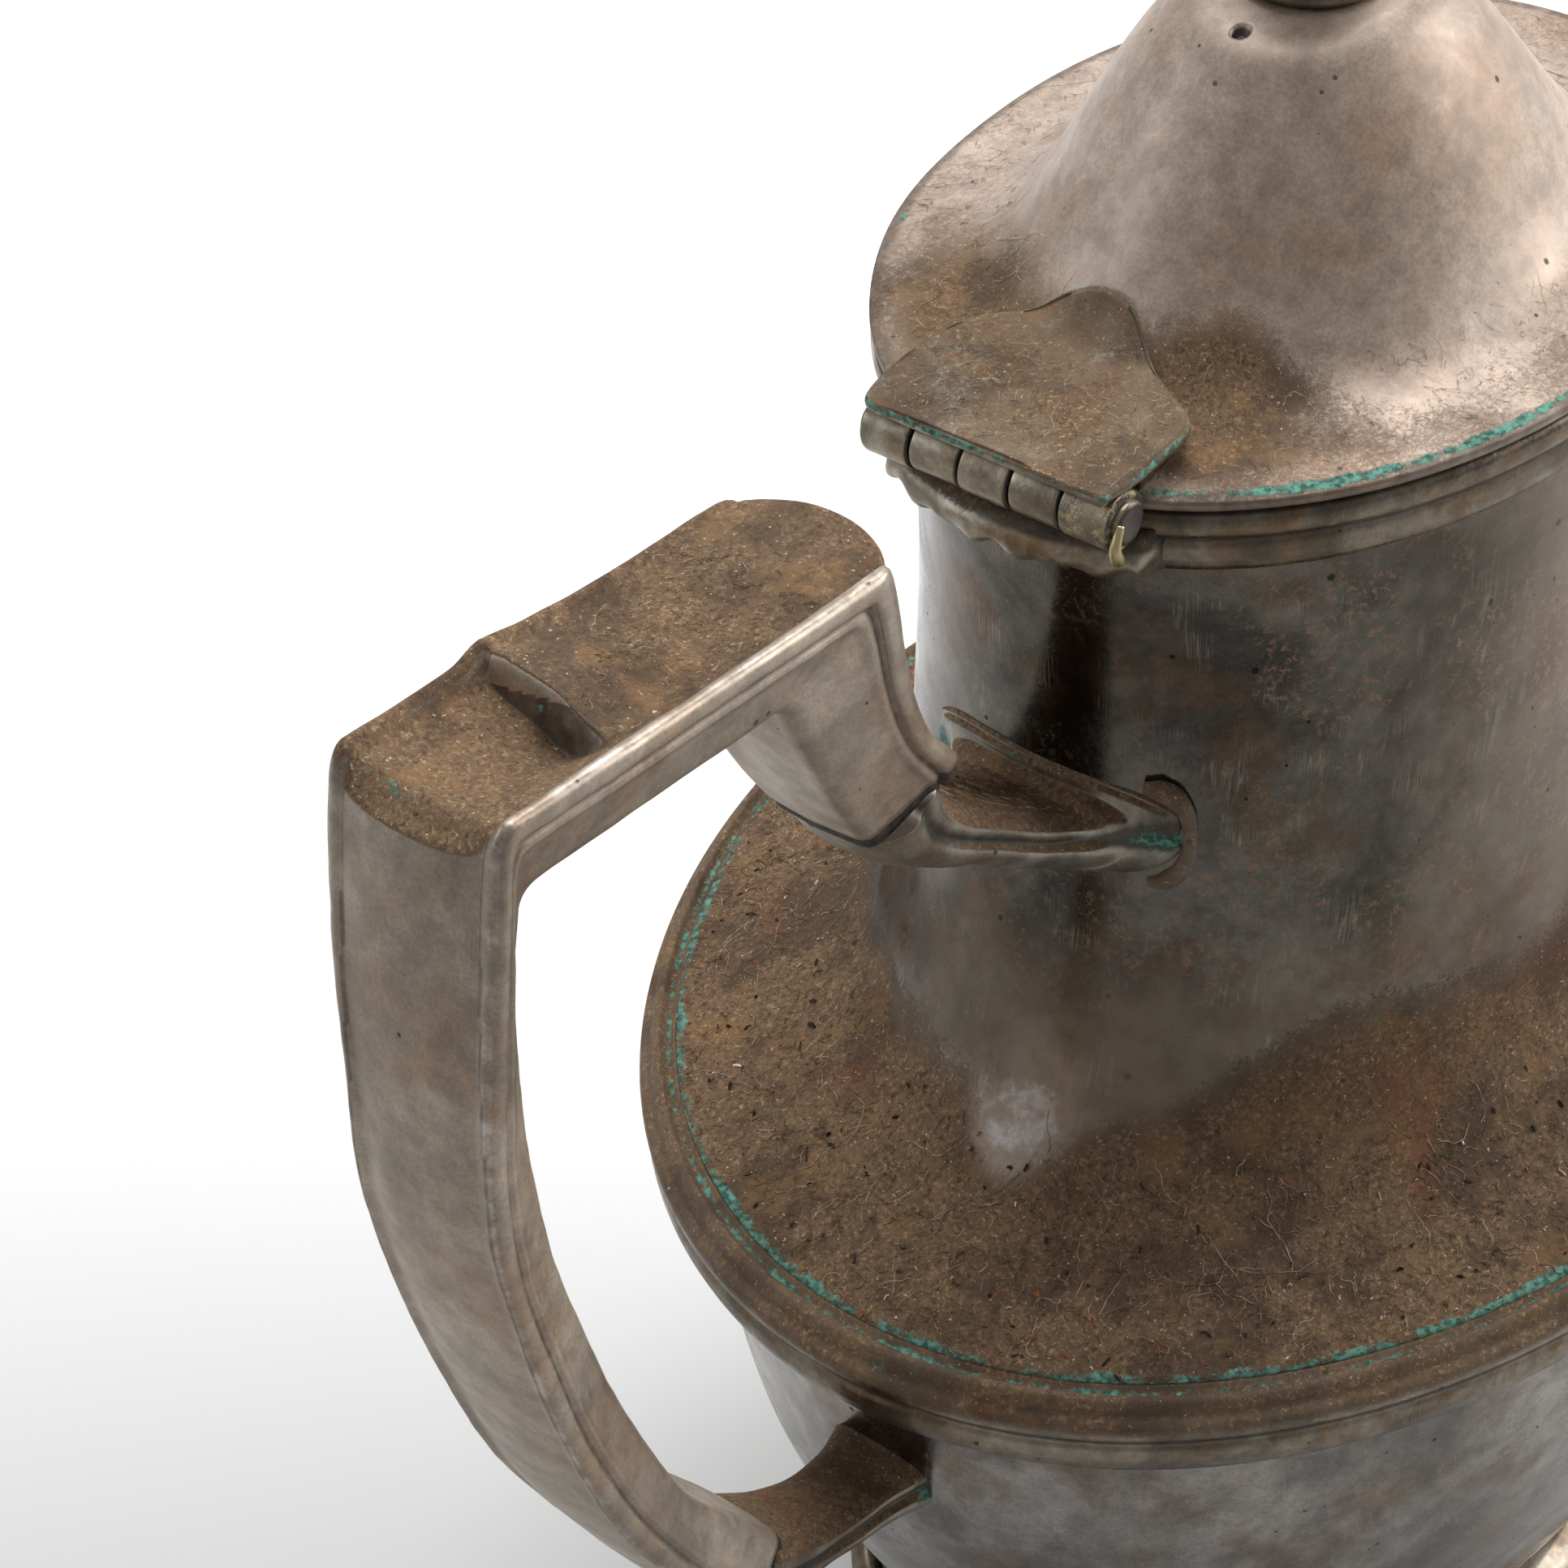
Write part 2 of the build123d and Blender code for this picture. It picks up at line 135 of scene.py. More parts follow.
def make_skin(name, grid, body, finish, ring=False, marks=None, replaces=()):
    """A closed mesh from an (rows, columns, 3) grid in metres, with its marks stored as point attributes."""
    rows, cols = grid.shape[:2]
    verts = grid.reshape(-1, 3)
    index = np.arange(rows * cols).reshape(rows, cols)
    after = np.roll(index, -1, axis=0) if ring else index[1:]
    here = index if ring else index[:-1]
    quads = np.stack([here, np.roll(here, -1, 1), np.roll(after, -1, 1), after], -1).reshape(-1, 4)
    tris = np.empty((0, 3), int)
    if not ring:
        verts = np.vstack([verts, grid[0].mean(0), grid[-1].mean(0)])
        first, last = index[0], index[-1]
        start = np.stack([np.roll(first, -1), first, np.full(cols, rows * cols)], 1)
        end = np.stack([last, np.roll(last, -1), np.full(cols, rows * cols + 1)], 1)
        tris = np.vstack([start, end])
    split = np.vstack([quads[:, [0, 1, 2]], quads[:, [0, 2, 3]], tris])
    a, b, c = (verts[split[:, k]] for k in range(3))
    if np.einsum("ij,ij->", a, np.cross(b, c)) < 0:
        quads, tris = quads[:, ::-1], tris[:, ::-1]
    mesh = bpy.data.meshes.new(name)
    mesh.from_pydata(verts.tolist(), [], quads.tolist() + tris.tolist())
    mesh.shade_smooth()
    for key, values in (marks or {}).items():
        flat = np.broadcast_to(values, (rows, cols)).reshape(-1)
        if not ring:
            flat = np.append(flat, [flat[:cols].mean(), flat[-cols:].mean()])
        mesh.attributes.new(key, "FLOAT", "POINT").data.foreach_set("value", flat.astype(np.float32))
    piece = place(name, mesh, finish)
    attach(piece, body)
    if replaces:
        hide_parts(*replaces)
    print(name, len(quads) * 2 + len(tris), "triangles")
    return piece


def oval_grid(profile, columns, ratio=OVAL):
    """Turns a side-view line round the axis and squeezes it: x = a cos t, y = ratio a sin t, z = height.
    The ratio may change from point to point of the line."""
    t = np.linspace(0, 2 * math.pi, columns, endpoint=False)
    a, z = profile[:, 0:1], profile[:, 1:2]
    ratio = np.broadcast_to(ratio, len(profile))[:, None]
    return np.stack([a * np.cos(t), a * ratio * np.sin(t), np.broadcast_to(z, (len(z), columns))], -1)


def raised(points):
    """Side-view points in millimetres over the shoulder line, as metres over the table."""
    return np.asarray(points, float) * MM + [0, SHOULDER_Z]


def beside(line, distance):
    """A side-view line moved to its left."""
    along = np.gradient(line, axis=0)
    along /= np.linalg.norm(along, axis=1)[:, None]
    return line + distance * np.stack([-along[:, 1], along[:, 0]], 1)


# %% [markdown]
# # Finishes
# The real metal is silvered, and its colour comes from layers: brown tarnish in clouds, dark pits, hair
# scratches, worn bright places, brown dust and lint on what faces up, green verdigris where two pieces meet, and
# brassy solder. Some layers also carry painted light: the worn and haze layers paint a pale highlight on the
# neck's flare, and the grime layer paints the shade inside the lid's steam hole. Each layer is a mask, from noise
# on Object coordinates or from a mark stored on the points, and each mask mixes one colour, roughness and height
# over those before it. The helpers here add one node each.

# %% Node helpers
def put(tree, kind, settings=None, **inputs):
    """Adds one node, with its settings and inputs, and returns it. An underscore in a name stands for a space,
    and i0, i1 and so on are inputs by number."""
    node = tree.nodes.new(kind)
    for key, value in (settings or {}).items():
        setattr(node, key, value)
    for key, value in inputs.items():
        numbered = key[0] == "i" and key[1:].isdigit()
        socket = node.inputs[int(key[1:]) if numbered else key.replace("_", " ")]
        if isinstance(value, bpy.types.NodeSocket):
            tree.links.new(value, socket)
        else:
            socket.default_value = value
    return node


def noise(tree, where, scale, detail=4.0, roughness=0.55, distortion=0.0, kind="FBM"):
    """A cloudy value around a half. scale is in features per metre."""
    return put(tree, "ShaderNodeTexNoise", {"noise_type": kind}, Vector=where, Scale=scale, Detail=detail,
               Roughness=roughness, Distortion=distortion).outputs["Fac"]


def span(tree, value, low, high, to_low=0.0, to_high=1.0):
    """A smooth rise of value between low and high."""
    return put(tree, "ShaderNodeMapRange", {"interpolation_type": "SMOOTHSTEP"}, Value=value, From_Min=low,
               From_Max=high, To_Min=to_low, To_Max=to_high).outputs["Result"]


def calc(operation):
    """Makes a function that adds one sum on two values."""
    return lambda tree, a, b=0.0: put(tree, "ShaderNodeMath", {"operation": operation}, i0=a, i1=b).outputs[0]


times, plus, minus, over = map(calc, ("MULTIPLY", "ADD", "SUBTRACT", "DIVIDE"))
larger, unsigned = map(calc, ("MAXIMUM", "ABSOLUTE"))


def chain(join, tree, *values):
    """Joins many values two at a time, as in chain(plus, tree, a, b, c)."""
    result = values[0]
    for value in values[1:]:
        result = join(tree, result, value)
    return result


def blend(tree, factor, a, b, how="MIX"):
    """Colour a, with colour b laid over it by the factor."""
    a, b = (c if isinstance(c, bpy.types.NodeSocket) else (*c, 1.0) for c in (a, b))
    return put(tree, "ShaderNodeMix", {"data_type": "RGBA", "blend_type": how}, i0=factor, i6=a, i7=b).outputs[2]


def mark(tree, name):
    """A mark stored on the mesh's points."""
    return put(tree, "ShaderNodeAttribute", {"attribute_name": name}).outputs["Fac"]


def shade(*values):
    """A display colour, 0 to 255, as a linear one."""
    return tuple(((v / 255 + 0.055) / 1.055) ** 2.4 if v > 10 else v / 3294.6 for v in values)


def begin(name):
    """A new material, its empty node tree, and the Object coordinates in it."""
    material = bpy.data.materials.new(name)
    material.use_nodes = True
    tree = material.node_tree
    tree.nodes.clear()
    return material, tree, put(tree, "ShaderNodeTexCoord").outputs["Object"]


def surface(tree, **inputs):
    """Ends a material with its shader."""
    shader = put(tree, "ShaderNodeBsdfPrincipled", **inputs)
    put(tree, "ShaderNodeOutputMaterial", Surface=shader.outputs[0])


# %% [markdown]
# Tarnish grows in clouds, from pale gold to brown. A picture wrapped round the piece could show it, but it would
# need a seam and a map. Noise in space has neither: one cloud picks between two shades, a finer one adds a warm
# third, small spots gather where a mark asks for them, and a fast grain makes the shade waver.

# %% Clouds of tarnish
SPOT_BROWN = shade(120, 91, 69)


def clouded(tree, where, dark, light, warm, cloud, speckle):
    """The metal's shade, its spots, and two factors about 1: a mottle and a grain."""
    colour = blend(tree, span(tree, noise(tree, where, cloud, 5, 0.6, 0.6), 0.36, 0.64), dark, light)
    brown = span(tree, noise(tree, where, cloud * 2.3, 6, 0.62), 0.46, 0.66, 0, 0.75)
    colour = blend(tree, brown, colour, warm)
    spots = span(tree, noise(tree, where, 1400, 6, 0.75, 0.5), 0.53, 0.6)
    patches = span(tree, noise(tree, where, 75, 4, 0.6), 0.42, 0.6, 0, speckle)
    spots = chain(times, tree, spots, patches, plus(tree, 0.4, mark(tree, "spotty")))
    colour = blend(tree, spots, colour, SPOT_BROWN)
    mottle = span(tree, noise(tree, where, 420, 5, 0.7), 0.3, 0.7, 0.8, 1.18)
    grain = span(tree, noise(tree, where, 3600, 3, 0.6), 0.25, 0.75, 0.86, 1.14)
    value = times(tree, mottle, grain)
    tint = put(tree, "ShaderNodeCombineColor", i0=value, i1=value, i2=value).outputs[0]
    return blend(tree, 1.0, colour, tint, "MULTIPLY"), spots, mottle, grain


# %% [markdown]
# Use leaves pits and hair scratches, and grease leaves a thin haze; the same pale haze also paints a highlight
# on the neck's flare. A pit is the middle of a Voronoi cell. A scratch is noise squeezed forty times more along
# one axis than the others, kept only where it crosses a half.

# %% Pits, haze with a painted highlight, and scratches
# The pale haze colour also paints a highlight on the neck's flare.
PIT_BLACK, HAZE_AND_HIGHLIGHT, SCRATCH = shade(34, 28, 24), shade(146, 128, 110), shade(180, 170, 160)


def pitting(tree, where):
    """Round pits, as wide as a slow noise lets them be."""
    cells = put(tree, "ShaderNodeTexVoronoi", Vector=where, Scale=330.0, Randomness=1.0).outputs["Distance"]
    room = span(tree, noise(tree, where, 140, 3), 0.42, 0.7, 0.01, 0.13)
    return minus(tree, 1.0, span(tree, over(tree, cells, room), 0.6, 1.1))


def hazing(tree, where):
    """A thin dull pale film where the mark asks for one: grease haze, and on the neck's flare a painted highlight."""
    return times(tree, mark(tree, "veil_and_highlight"), span(tree, noise(tree, where, 160, 5, 0.7), 0.25, 0.7, 0.55, 1.1))


def scratching(tree, where, turn):
    """Fine lines that lie three ways, in patches."""
    lays = []
    for tilt, rate in ((turn, 0.9), (turn + 1.15, 1.0), (turn - 0.8, 1.3)):
        lay = put(tree, "ShaderNodeMapping", Vector=where, Rotation=(tilt, tilt * 1.7, tilt * 0.6),
                  Scale=(55 * rate, 2300 * rate, 55 * rate)).outputs[0]
        from_half = unsigned(tree, minus(tree, noise(tree, lay, 1.0, 1.0, 0.4), 0.5))
        lays.append(minus(tree, 1.0, span(tree, from_half, 0.0, 0.02)))
    return times(tree, chain(larger, tree, *lays), span(tree, noise(tree, where, 220, 3), 0.52, 0.68))


# %% [markdown]
# Wear, dust, verdigris and solder all sit where a piece's marks put them, with ragged edges; the wear mask also
# paints a pale highlight on the neck's flare. So one function makes all four masks: the mark plus swings of noise,
# cut between two levels, and nothing where the mark is nothing. Dust itself is many things, so its colour is mixed
# from brown to pale grains, rusty patches and bits of lint.

# %% Ragged layers and dust
DUST = [shade(44, 31, 20), shade(112, 87, 62), shade(184, 155, 116)]
DUST_PATCHES = [(90, 0.65, 0.0, 0.47, 0.6, 0.65, shade(58, 42, 28)),
                (130, 0.7, 0.0, 0.52, 0.66, 0.36, shade(146, 110, 68)),
                (52, 0.65, 0.5, 0.56, 0.68, 0.45, shade(112, 58, 30))]
RUST, LINT_PALE = shade(150, 78, 34), shade(205, 190, 165)
# The dark grime colour also paints the shade inside the lid's steam hole.
# The pale worn colour also paints a highlight on the neck's flare.
WEAR_AND_HIGHLIGHT, GRIME_AND_SHADE, SOLDER = shade(206, 198, 194), shade(38, 31, 25), shade(178, 164, 120)
VERDIGRIS = [shade(46, 84, 74), shade(104, 158, 140)]


def swing(tree, where, strength, scale, detail, roughness=0.55, distortion=0.0):
    """Noise about 0, times a strength."""
    return times(tree, minus(tree, noise(tree, where, scale, detail, roughness, distortion), 0.5), strength)


def ragged(tree, name, swings, low, high, gate=(0.03, 0.2), strength=1.0):
    """The mask of one mark, with its edge broken up by swings of noise."""
    load = chain(plus, tree, times(tree, mark(tree, name), strength), *swings)
    return times(tree, span(tree, load, low, high), span(tree, mark(tree, name), *gate))


def dust_shade(tree, where, fine):
    """The colour of dust. fine is the noise of its grains."""
    colour = blend(tree, span(tree, fine, 0.3, 0.52), DUST[0], DUST[1])
    colour = blend(tree, span(tree, fine, 0.52, 0.74), colour, DUST[2])
    for scale, roughness, twist, low, high, most, tone in DUST_PATCHES:
        patch = span(tree, noise(tree, where, scale, 5, roughness, twist), low, high, 0, most)
        colour = blend(tree, patch, colour, tone)
    rust = span(tree, noise(tree, where, 1300, 3), 0.66, 0.72)
    rust = times(tree, rust, span(tree, noise(tree, where, 180, 2), 0.5, 0.62))
    pale = span(tree, noise(tree, where, 2900, 2), 0.68, 0.74, 0, 0.8)
    return blend(tree, pale, blend(tree, rust, colour, RUST), LINT_PALE)


# %% [markdown]
# One function builds every metal of the pot from these layers. Under dust, grime or film the surface stops being a
# mirror, so the cover lowers Metallic and raises Roughness, and a small bump gives the grains and crusts height.

# %% Tarnished metal
def tarnished(name, dark, light, warm, gloss, cloud, dusty=1.0, film=0.0, speckle=0.5, scratch_turn=0.4):
    """Silvered metal under tarnish. dark, light and warm are its clouds, gloss its least and most roughness,
    film how far a dull skin hides the metal, speckle how strong its fine brown spots are."""
    material, tree, where = begin(name)
    colour, spots, mottle, grain = clouded(tree, where, dark, light, warm, cloud, speckle)
    pits, veil_and_highlight, lines = pitting(tree, where), hazing(tree, where), scratching(tree, where, scratch_turn)
    # The grime mask is dirt, and in the lid's steam hole a painted shade.
    grime_and_shade = plus(tree, mark(tree, "grime_and_shade"), times(tree, noise(tree, where, 900, 4), 0.4))
    grime_and_shade = span(tree, grime_and_shade, 0.45, 0.95)
    fine = noise(tree, where, 2300, 6, 0.75, 0.8)
    wear_and_highlight = ragged(tree, "wear_and_highlight", [swing(tree, where, 1.1, 420, 6, 0.7)], 0.35, 0.8, (0.02, 0.2))
    grains = times(tree, minus(tree, fine, 0.5), 0.7)
    dust = ragged(tree, "dust", [swing(tree, where, 0.55, 110, 5, 0.6, 0.4), grains], 0.34, 0.7, (0.0, 0.1), dusty)
    crusts = [swing(tree, where, 1.9, 800, 6, 0.75), swing(tree, where, 1.0, 130, 3)]
    green = ragged(tree, "green", crusts, 0.55, 0.85)
    solder = ragged(tree, "solder", [swing(tree, where, 1.6, 700, 5, 0.7)], 0.5, 0.8)
    green_shade = blend(tree, span(tree, noise(tree, where, 1700, 3), 0.35, 0.65), *VERDIGRIS)
    # Over the neck's flare, the worn and haze layers paint a pale highlight.
    for cover, tone in ((times(tree, pits, 0.75), PIT_BLACK), (veil_and_highlight, HAZE_AND_HIGHLIGHT), (times(tree, lines, 0.22), SCRATCH),
                        (wear_and_highlight, WEAR_AND_HIGHLIGHT), (times(tree, grime_and_shade, 0.85), GRIME_AND_SHADE), (dust, dust_shade(tree, where, fine)),
                        (green, green_shade), (solder, SOLDER)):
        colour = blend(tree, cover, colour, tone)

    dull = larger(tree, dust, green)
    filmed = times(tree, minus(tree, 1.0, wear_and_highlight), film)
    cover = chain(larger, tree, dull, times(tree, grime_and_shade, 0.6), filmed, times(tree, spots, 0.8),
                  times(tree, veil_and_highlight, 0.85))
    metallic = minus(tree, 1.0, times(tree, cover, 0.97))
    rough = chain(plus, tree, span(tree, noise(tree, where, cloud * 3.1, 5, 0.65), 0.3, 0.7, *gloss),
                  times(tree, minus(tree, grain, 1.0), 0.35), times(tree, pits, 0.3), times(tree, veil_and_highlight, 0.2))
    rough = plus(tree, times(tree, rough, minus(tree, 1.0, dull)), times(tree, dull, 0.9))

    strands = noise(tree, where, 1500, 5, 0.8, 1.5, "RIDGED_MULTIFRACTAL")
    fluff = plus(tree, times(tree, fine, 1.1), times(tree, strands, 0.35))
    height = chain(plus, tree, times(tree, mottle, 0.1), times(tree, grain, 0.05), times(tree, pits, -0.35),
                   times(tree, lines, -0.06), times(tree, fluff, dust), times(tree, larger(tree, green, solder), 0.7))
    bump = put(tree, "ShaderNodeBump", Height=height, Strength=0.55, Distance=0.00016).outputs[0]
    surface(tree, Base_Color=colour, Metallic=metallic, Roughness=rough, Normal=bump)
    return material


# %% [markdown]
# Seven metals differ only in shade, gloss and the size of their clouds. The neck is the darkest and shiniest, the
# lid and the handle wear a dull film. The two washers in the handle are pressed fibre, so theirs is a plain rough
# black.

# %% The metals and the washers' fibre
METAL_TABLE = {
    "neck": ((58, 56, 52), (100, 96, 90), (84, 66, 52), (0.13, 0.3), 45, 1.0, 0.0, 0.9),
    "bowl": ((104, 100, 96), (158, 153, 148), (122, 104, 90), (0.14, 0.3), 50, 0.4),
    "lid": ((160, 141, 125), (184, 166, 152), (154, 128, 106), (0.38, 0.52), 30, 1.0, 0.74, 0.5),
    "handle": ((140, 127, 113), (174, 160, 143), (152, 127, 104), (0.32, 0.46), 45, 1.0, 0.55, 0.35),
    "socket": ((128, 122, 112), (168, 161, 149), (132, 112, 92), (0.3, 0.46), 90, 1.0, 0.4),
    "moulding": ((92, 84, 74), (142, 132, 118), (112, 92, 70), (0.26, 0.46), 110),
    "hinge": ((120, 111, 94), (168, 158, 139), (126, 106, 82), (0.28, 0.46), 160, 1.0, 0.3),
}
(NECK_METAL, BOWL_METAL, LID_METAL, HANDLE_METAL, SOCKET_METAL, MOULDING_METAL, HINGE_METAL) = (
    tarnished(name + "_metal", *(shade(*tone) for tone in row[:3]), *row[3:]) for name, row in METAL_TABLE.items())

WASHER, tree, where = begin("washer_fibre")
pressed = noise(tree, where, 1800, 5)
washer_shade = blend(tree, span(tree, pressed, 0.3, 0.7), shade(26, 21, 18), shade(66, 54, 44))
surface(tree, Base_Color=washer_shade, Roughness=0.8,
        Normal=put(tree, "ShaderNodeBump", Height=pressed, Strength=0.4, Distance=0.0001).outputs[0])
print("metals:", list(METAL_TABLE))

# %% [markdown]
# # The body
# The neck was raised from sheet, straight above and spread below into the flat shoulder. It is one side-view
# curve turned round and squeezed to the oval, then walked back inside for the sheet's thickness. The hammer
# left it a little uneven, so slow waves move its skin. Its marks say where dust lies, and a patch on the flare
# holds less dust and is painted pale and bright as a highlight.

# %% Neck
SHEET = 1.1 * MM
COLUMNS = 384
neck_side = even(through(raised([(35.2, 70.0), (35.2, 62), (35.3, 50), (36.2, 36), (37.6, 23), (40.4, 12.4),
                                 (45.8, 7.0), (53, 4.5), (58.5, 3.5), (61.2, 3.0)]), 300), 120)
inner_side = even(beside(neck_side, -SHEET), 50)[::-1]


def uneven(grid, wave=0.12 * MM, size=26 * MM, seed=3):
    """Moves a ring's points along the outward level direction by slow waves."""
    out = grid * [1, 1, 0]
    out /= np.linalg.norm(out, axis=-1)[..., None] + 1e-9
    return grid + out * (wave * ripple(grid, size, seed))[..., None]


neck_grid = uneven(oval_grid(np.vstack([neck_side, inner_side]), COLUMNS))
outer_rows = np.arange(len(neck_grid))[:, None] < len(neck_side)
half_length = np.hypot(neck_grid[..., 0], neck_grid[..., 1] / OVAL)
over_shoulder = neck_grid[..., 2] - SHOULDER_Z
around = np.arctan2(neck_grid[..., 1] / OVAL, neck_grid[..., 0])
climb = 1 + 0.9 * hill(around, 1.9, 0.7) + 0.6 * hill(around, 0.85, 0.35)
flat = step(-over_shoulder, -17 * MM * climb, -5.6 * MM * climb)
# A patch on the flare: less dust there, and a painted highlight of pale worn and hazed colour.
bare_highlight_centre, bare_highlight_size = np.array([41.5, 2.5, SHOULDER_Z / MM + 9.5]) * MM, np.array([6.0, 4.4, 6]) * MM
bare_highlight = np.linalg.norm((neck_grid - bare_highlight_centre) / bare_highlight_size, axis=-1)
neck_marks = {
    "dust": outer_rows * flat * (1 - 0.8 * hill(bare_highlight, 0, 1)),
    "green": outer_rows * step(half_length, 59.4 * MM, 61.0 * MM) * (0.8 + 0.3 * hill(around, 1.3, 0.6)),
    "grime_and_shade": outer_rows * (step(half_length, 57 * MM, 61 * MM) * 0.5 + step(over_shoulder, 62 * MM, 65 * MM) * 0.3),
    # Painted highlight on the flare patch, in the pale worn colour.
    "wear_and_highlight": outer_rows * 0.6 * hill(bare_highlight, 0, 1),
    "spotty": outer_rows * 1.4 * hill(around, 1.4, 0.8),
    # Haze over the lower left and the right of the neck, and over the flare patch as a painted highlight.
    "veil_and_highlight": outer_rows * (0.62 * step(-over_shoulder, -32 * MM, -12 * MM) * hill(around, 0.25, 0.75)
                          + 0.95 * hill(around, 1.9, 0.6) + 0.8 * hill(bare_highlight, 0, 1)),
}
make_skin("neck", neck_grid, "pot", NECK_METAL, ring=True, marks=neck_marks,
          replaces=["neck_shell"])

# %% [markdown]
# The bowl tapers from the shoulder to the foot. It is one skin as well, open below, and a small oval disc closes
# the opening, because a ring of points can't reach its own axis without a pole.

# %% Bowl
bowl_side = even(through(raised([(60.1, 1.4), (60.0, -5.4), (59.2, -13), (58.2, -22), (56.0, -32.5),
                                 (51.8, -43.5), (46.2, -54), (40, -63.4)]), 200), 110)
bowl_end, HOLE_A = bowl_side[-1][1], 14 * MM
bowl_floor = np.array([[38.6 * MM, bowl_end - SHEET * 0.8], [HOLE_A, bowl_end - SHEET * 0.8]])
bowl_back = np.array([[HOLE_A, bowl_end], [38.2 * MM, bowl_end + 0.3 * MM]])
bowl_profile = np.vstack([bowl_side, bowl_floor, bowl_back, even(beside(bowl_side, -SHEET), 50)[::-1][1:]])
bowl_grid = uneven(oval_grid(bowl_profile, COLUMNS), 0.2 * MM, 34 * MM, 8)
make_skin("bowl", bowl_grid, "pot", BOWL_METAL, ring=True, replaces=["bowl_shell"])


def oval_disc(a, z_low, z_high, rings=3):
    """A thin closed oval plate: its half length grows from a twentieth to full below, and back above."""
    sizes = np.concatenate([np.linspace(0.05, 1, rings), np.linspace(1, 0.05, rings)]) * a
    heights = np.repeat([z_low, z_high], rings)
    return oval_grid(np.stack([sizes, heights], 1), 96)


bowl_disc = oval_disc(HOLE_A + 0.2 * MM, bowl_end - SHEET * 0.75, bowl_end)
make_skin("bowl_floor", bowl_disc, "pot", BOWL_METAL)

# %% [markdown]
# The mouldings are strips drawn through a shaped die, bent to the oval and soldered on, so each has one cross
# section all the way round. A closed outline turned round the axis gives that. Dirt, verdigris and solder gather in
# its grooves, so the marks are written as functions of the place in the section.

# %% Mouldings
def moulding(name, outline, marks, replaces, move=None):
    """An oval ring: a closed side-view outline, turned and squeezed. marks gives each one as a function of
    half length and height over the shoulder, in millimetres."""
    ring_points = even(np.vstack([outline, outline[:1]]), max(48, len(outline) * 4))[:-1]
    grid = oval_grid(ring_points, COLUMNS)
    if move:
        grid = move(grid)
    a = np.hypot(grid[..., 0], grid[..., 1] / OVAL) / MM
    z = (grid[..., 2] - SHOULDER_Z) / MM
    stored = {key: make(a, z) for key, make in marks.items()}
    return make_skin(name, grid, "pot", MOULDING_METAL, ring=True, marks=stored, replaces=[replaces])


shoulder_outline = raised([(61.25, 2.9), (61.9, 2.5), (62.3, 2.6), (62.8, 3.2), (63.4, 3.1), (63.8, 2.5),
                           (64.0, 1.9), (64.3, 1.8), (64.8, 1.5), (65.0, 0.8), (64.9, 0.1), (64.5, -0.4),
                           (64.35, -0.8), (64.7, -1.5), (64.7, -2.6), (64.2, -3.9), (63.3, -5.0), (62.2, -5.7),
                           (60.4, -5.8), (60.4, -2), (60.4, 1.6), (61.2, 1.7)])
moulding("shoulder_moulding", shoulder_outline, {
    "dust": lambda a, z: step(z, -0.6, 1.6) * 0.62,
    "green": lambda a, z: hill(a, 62.0, 0.5) * step(z, 1, 2) * 0.75
    + hill(a, 63.9, 0.3) * step(z, 0.8, 1.6) * 0.4,
    "grime_and_shade": lambda a, z: hill(z, -0.6, 0.35) * 0.8 + hill(a, 62.1, 0.45) * step(z, 1, 2) * 0.5,
    "solder": lambda a, z: hill(z, 0.5, 0.5) * step(a, 64.2, 64.8) * 0.42 + step(-z, 5.1, 5.7) * 0.5,
}, "shoulder_rim")


def hinge_recess(grid):
    """Presses the moulding back from the hinge barrel: within the barrel's length, no point is nearer to
    the pin than the barrel's radius and a little room."""
    room = BARREL_R + 0.4 * MM
    dz = grid[..., 2] - PIN[2]
    half = np.sqrt(np.clip(room**2 - dz**2, 0, None))
    near = (np.abs(grid[..., 1]) < HALF_BARREL + 0.4 * MM) & (np.abs(dz) < room) & (grid[..., 0] > PIN[0] - half)
    return np.concatenate([np.where(near, PIN[0] - half, grid[..., 0])[..., None], grid[..., 1:]], -1)


mouth_outline = raised([(35.3, 64.8), (37.0, 64.75), (37.6, 65.3), (37.9, 66.3), (37.85, 67.3), (37.6, 67.9),
                        (38.0, 68.2), (38.6, 68.7), (38.8, 69.5), (38.6, 70.3), (38.0, 70.7), (36.5, 70.75),
                        (34.4, 70.75), (34.3, 70.1), (35.2, 70.05)])
moulding("mouth_moulding", mouth_outline, {
    "dust": lambda a, z: step(z, 69.6, 70.6) * 0.3,
    "green": lambda a, z: step(z, 69.8, 70.6) * 0.2,
    "grime_and_shade": lambda a, z: hill(z, 67.9, 0.3) * 0.8 + step(z, 70.1, 70.6) * 0.5,
    "solder": lambda a, z: step(-z, -65.4, -64.9) * step(a, 36.5, 37.2) * 0.7,
}, "mouth_rim", move=hinge_recess)

FOOT_MM = FOOT_A / MM
foot_outline = np.array([(-1.4, 0), (0, 0.4), (0, 3), (0, 10.6), (-0.5, 11.5), (-1.6, 12), (-2.8, 11.7),
                         (-3.0, 10.6), (-1.25, 10.1), (-1.25, 1.2)])
moulding("foot_band", (foot_outline + [FOOT_MM, 0]) * MM, {"grime_and_shade": lambda a, z: step(-z, 79, 80) * 0.5},
         "foot_ring")
cove_outline = np.array([(-3.1, 11.4), (-5.4, 12.1), (-7.4, 13.3), (-8.4, 15.2), (-12.8, 15.2), (-11, 10.6),
                         (-3.2, 10.5)])
moulding("foot_cove", (cove_outline + [FOOT_MM, 0]) * MM, {"grime_and_shade": lambda a, z: step(a, 43.6, 44.5) * 0.6},
         "foot_collar")

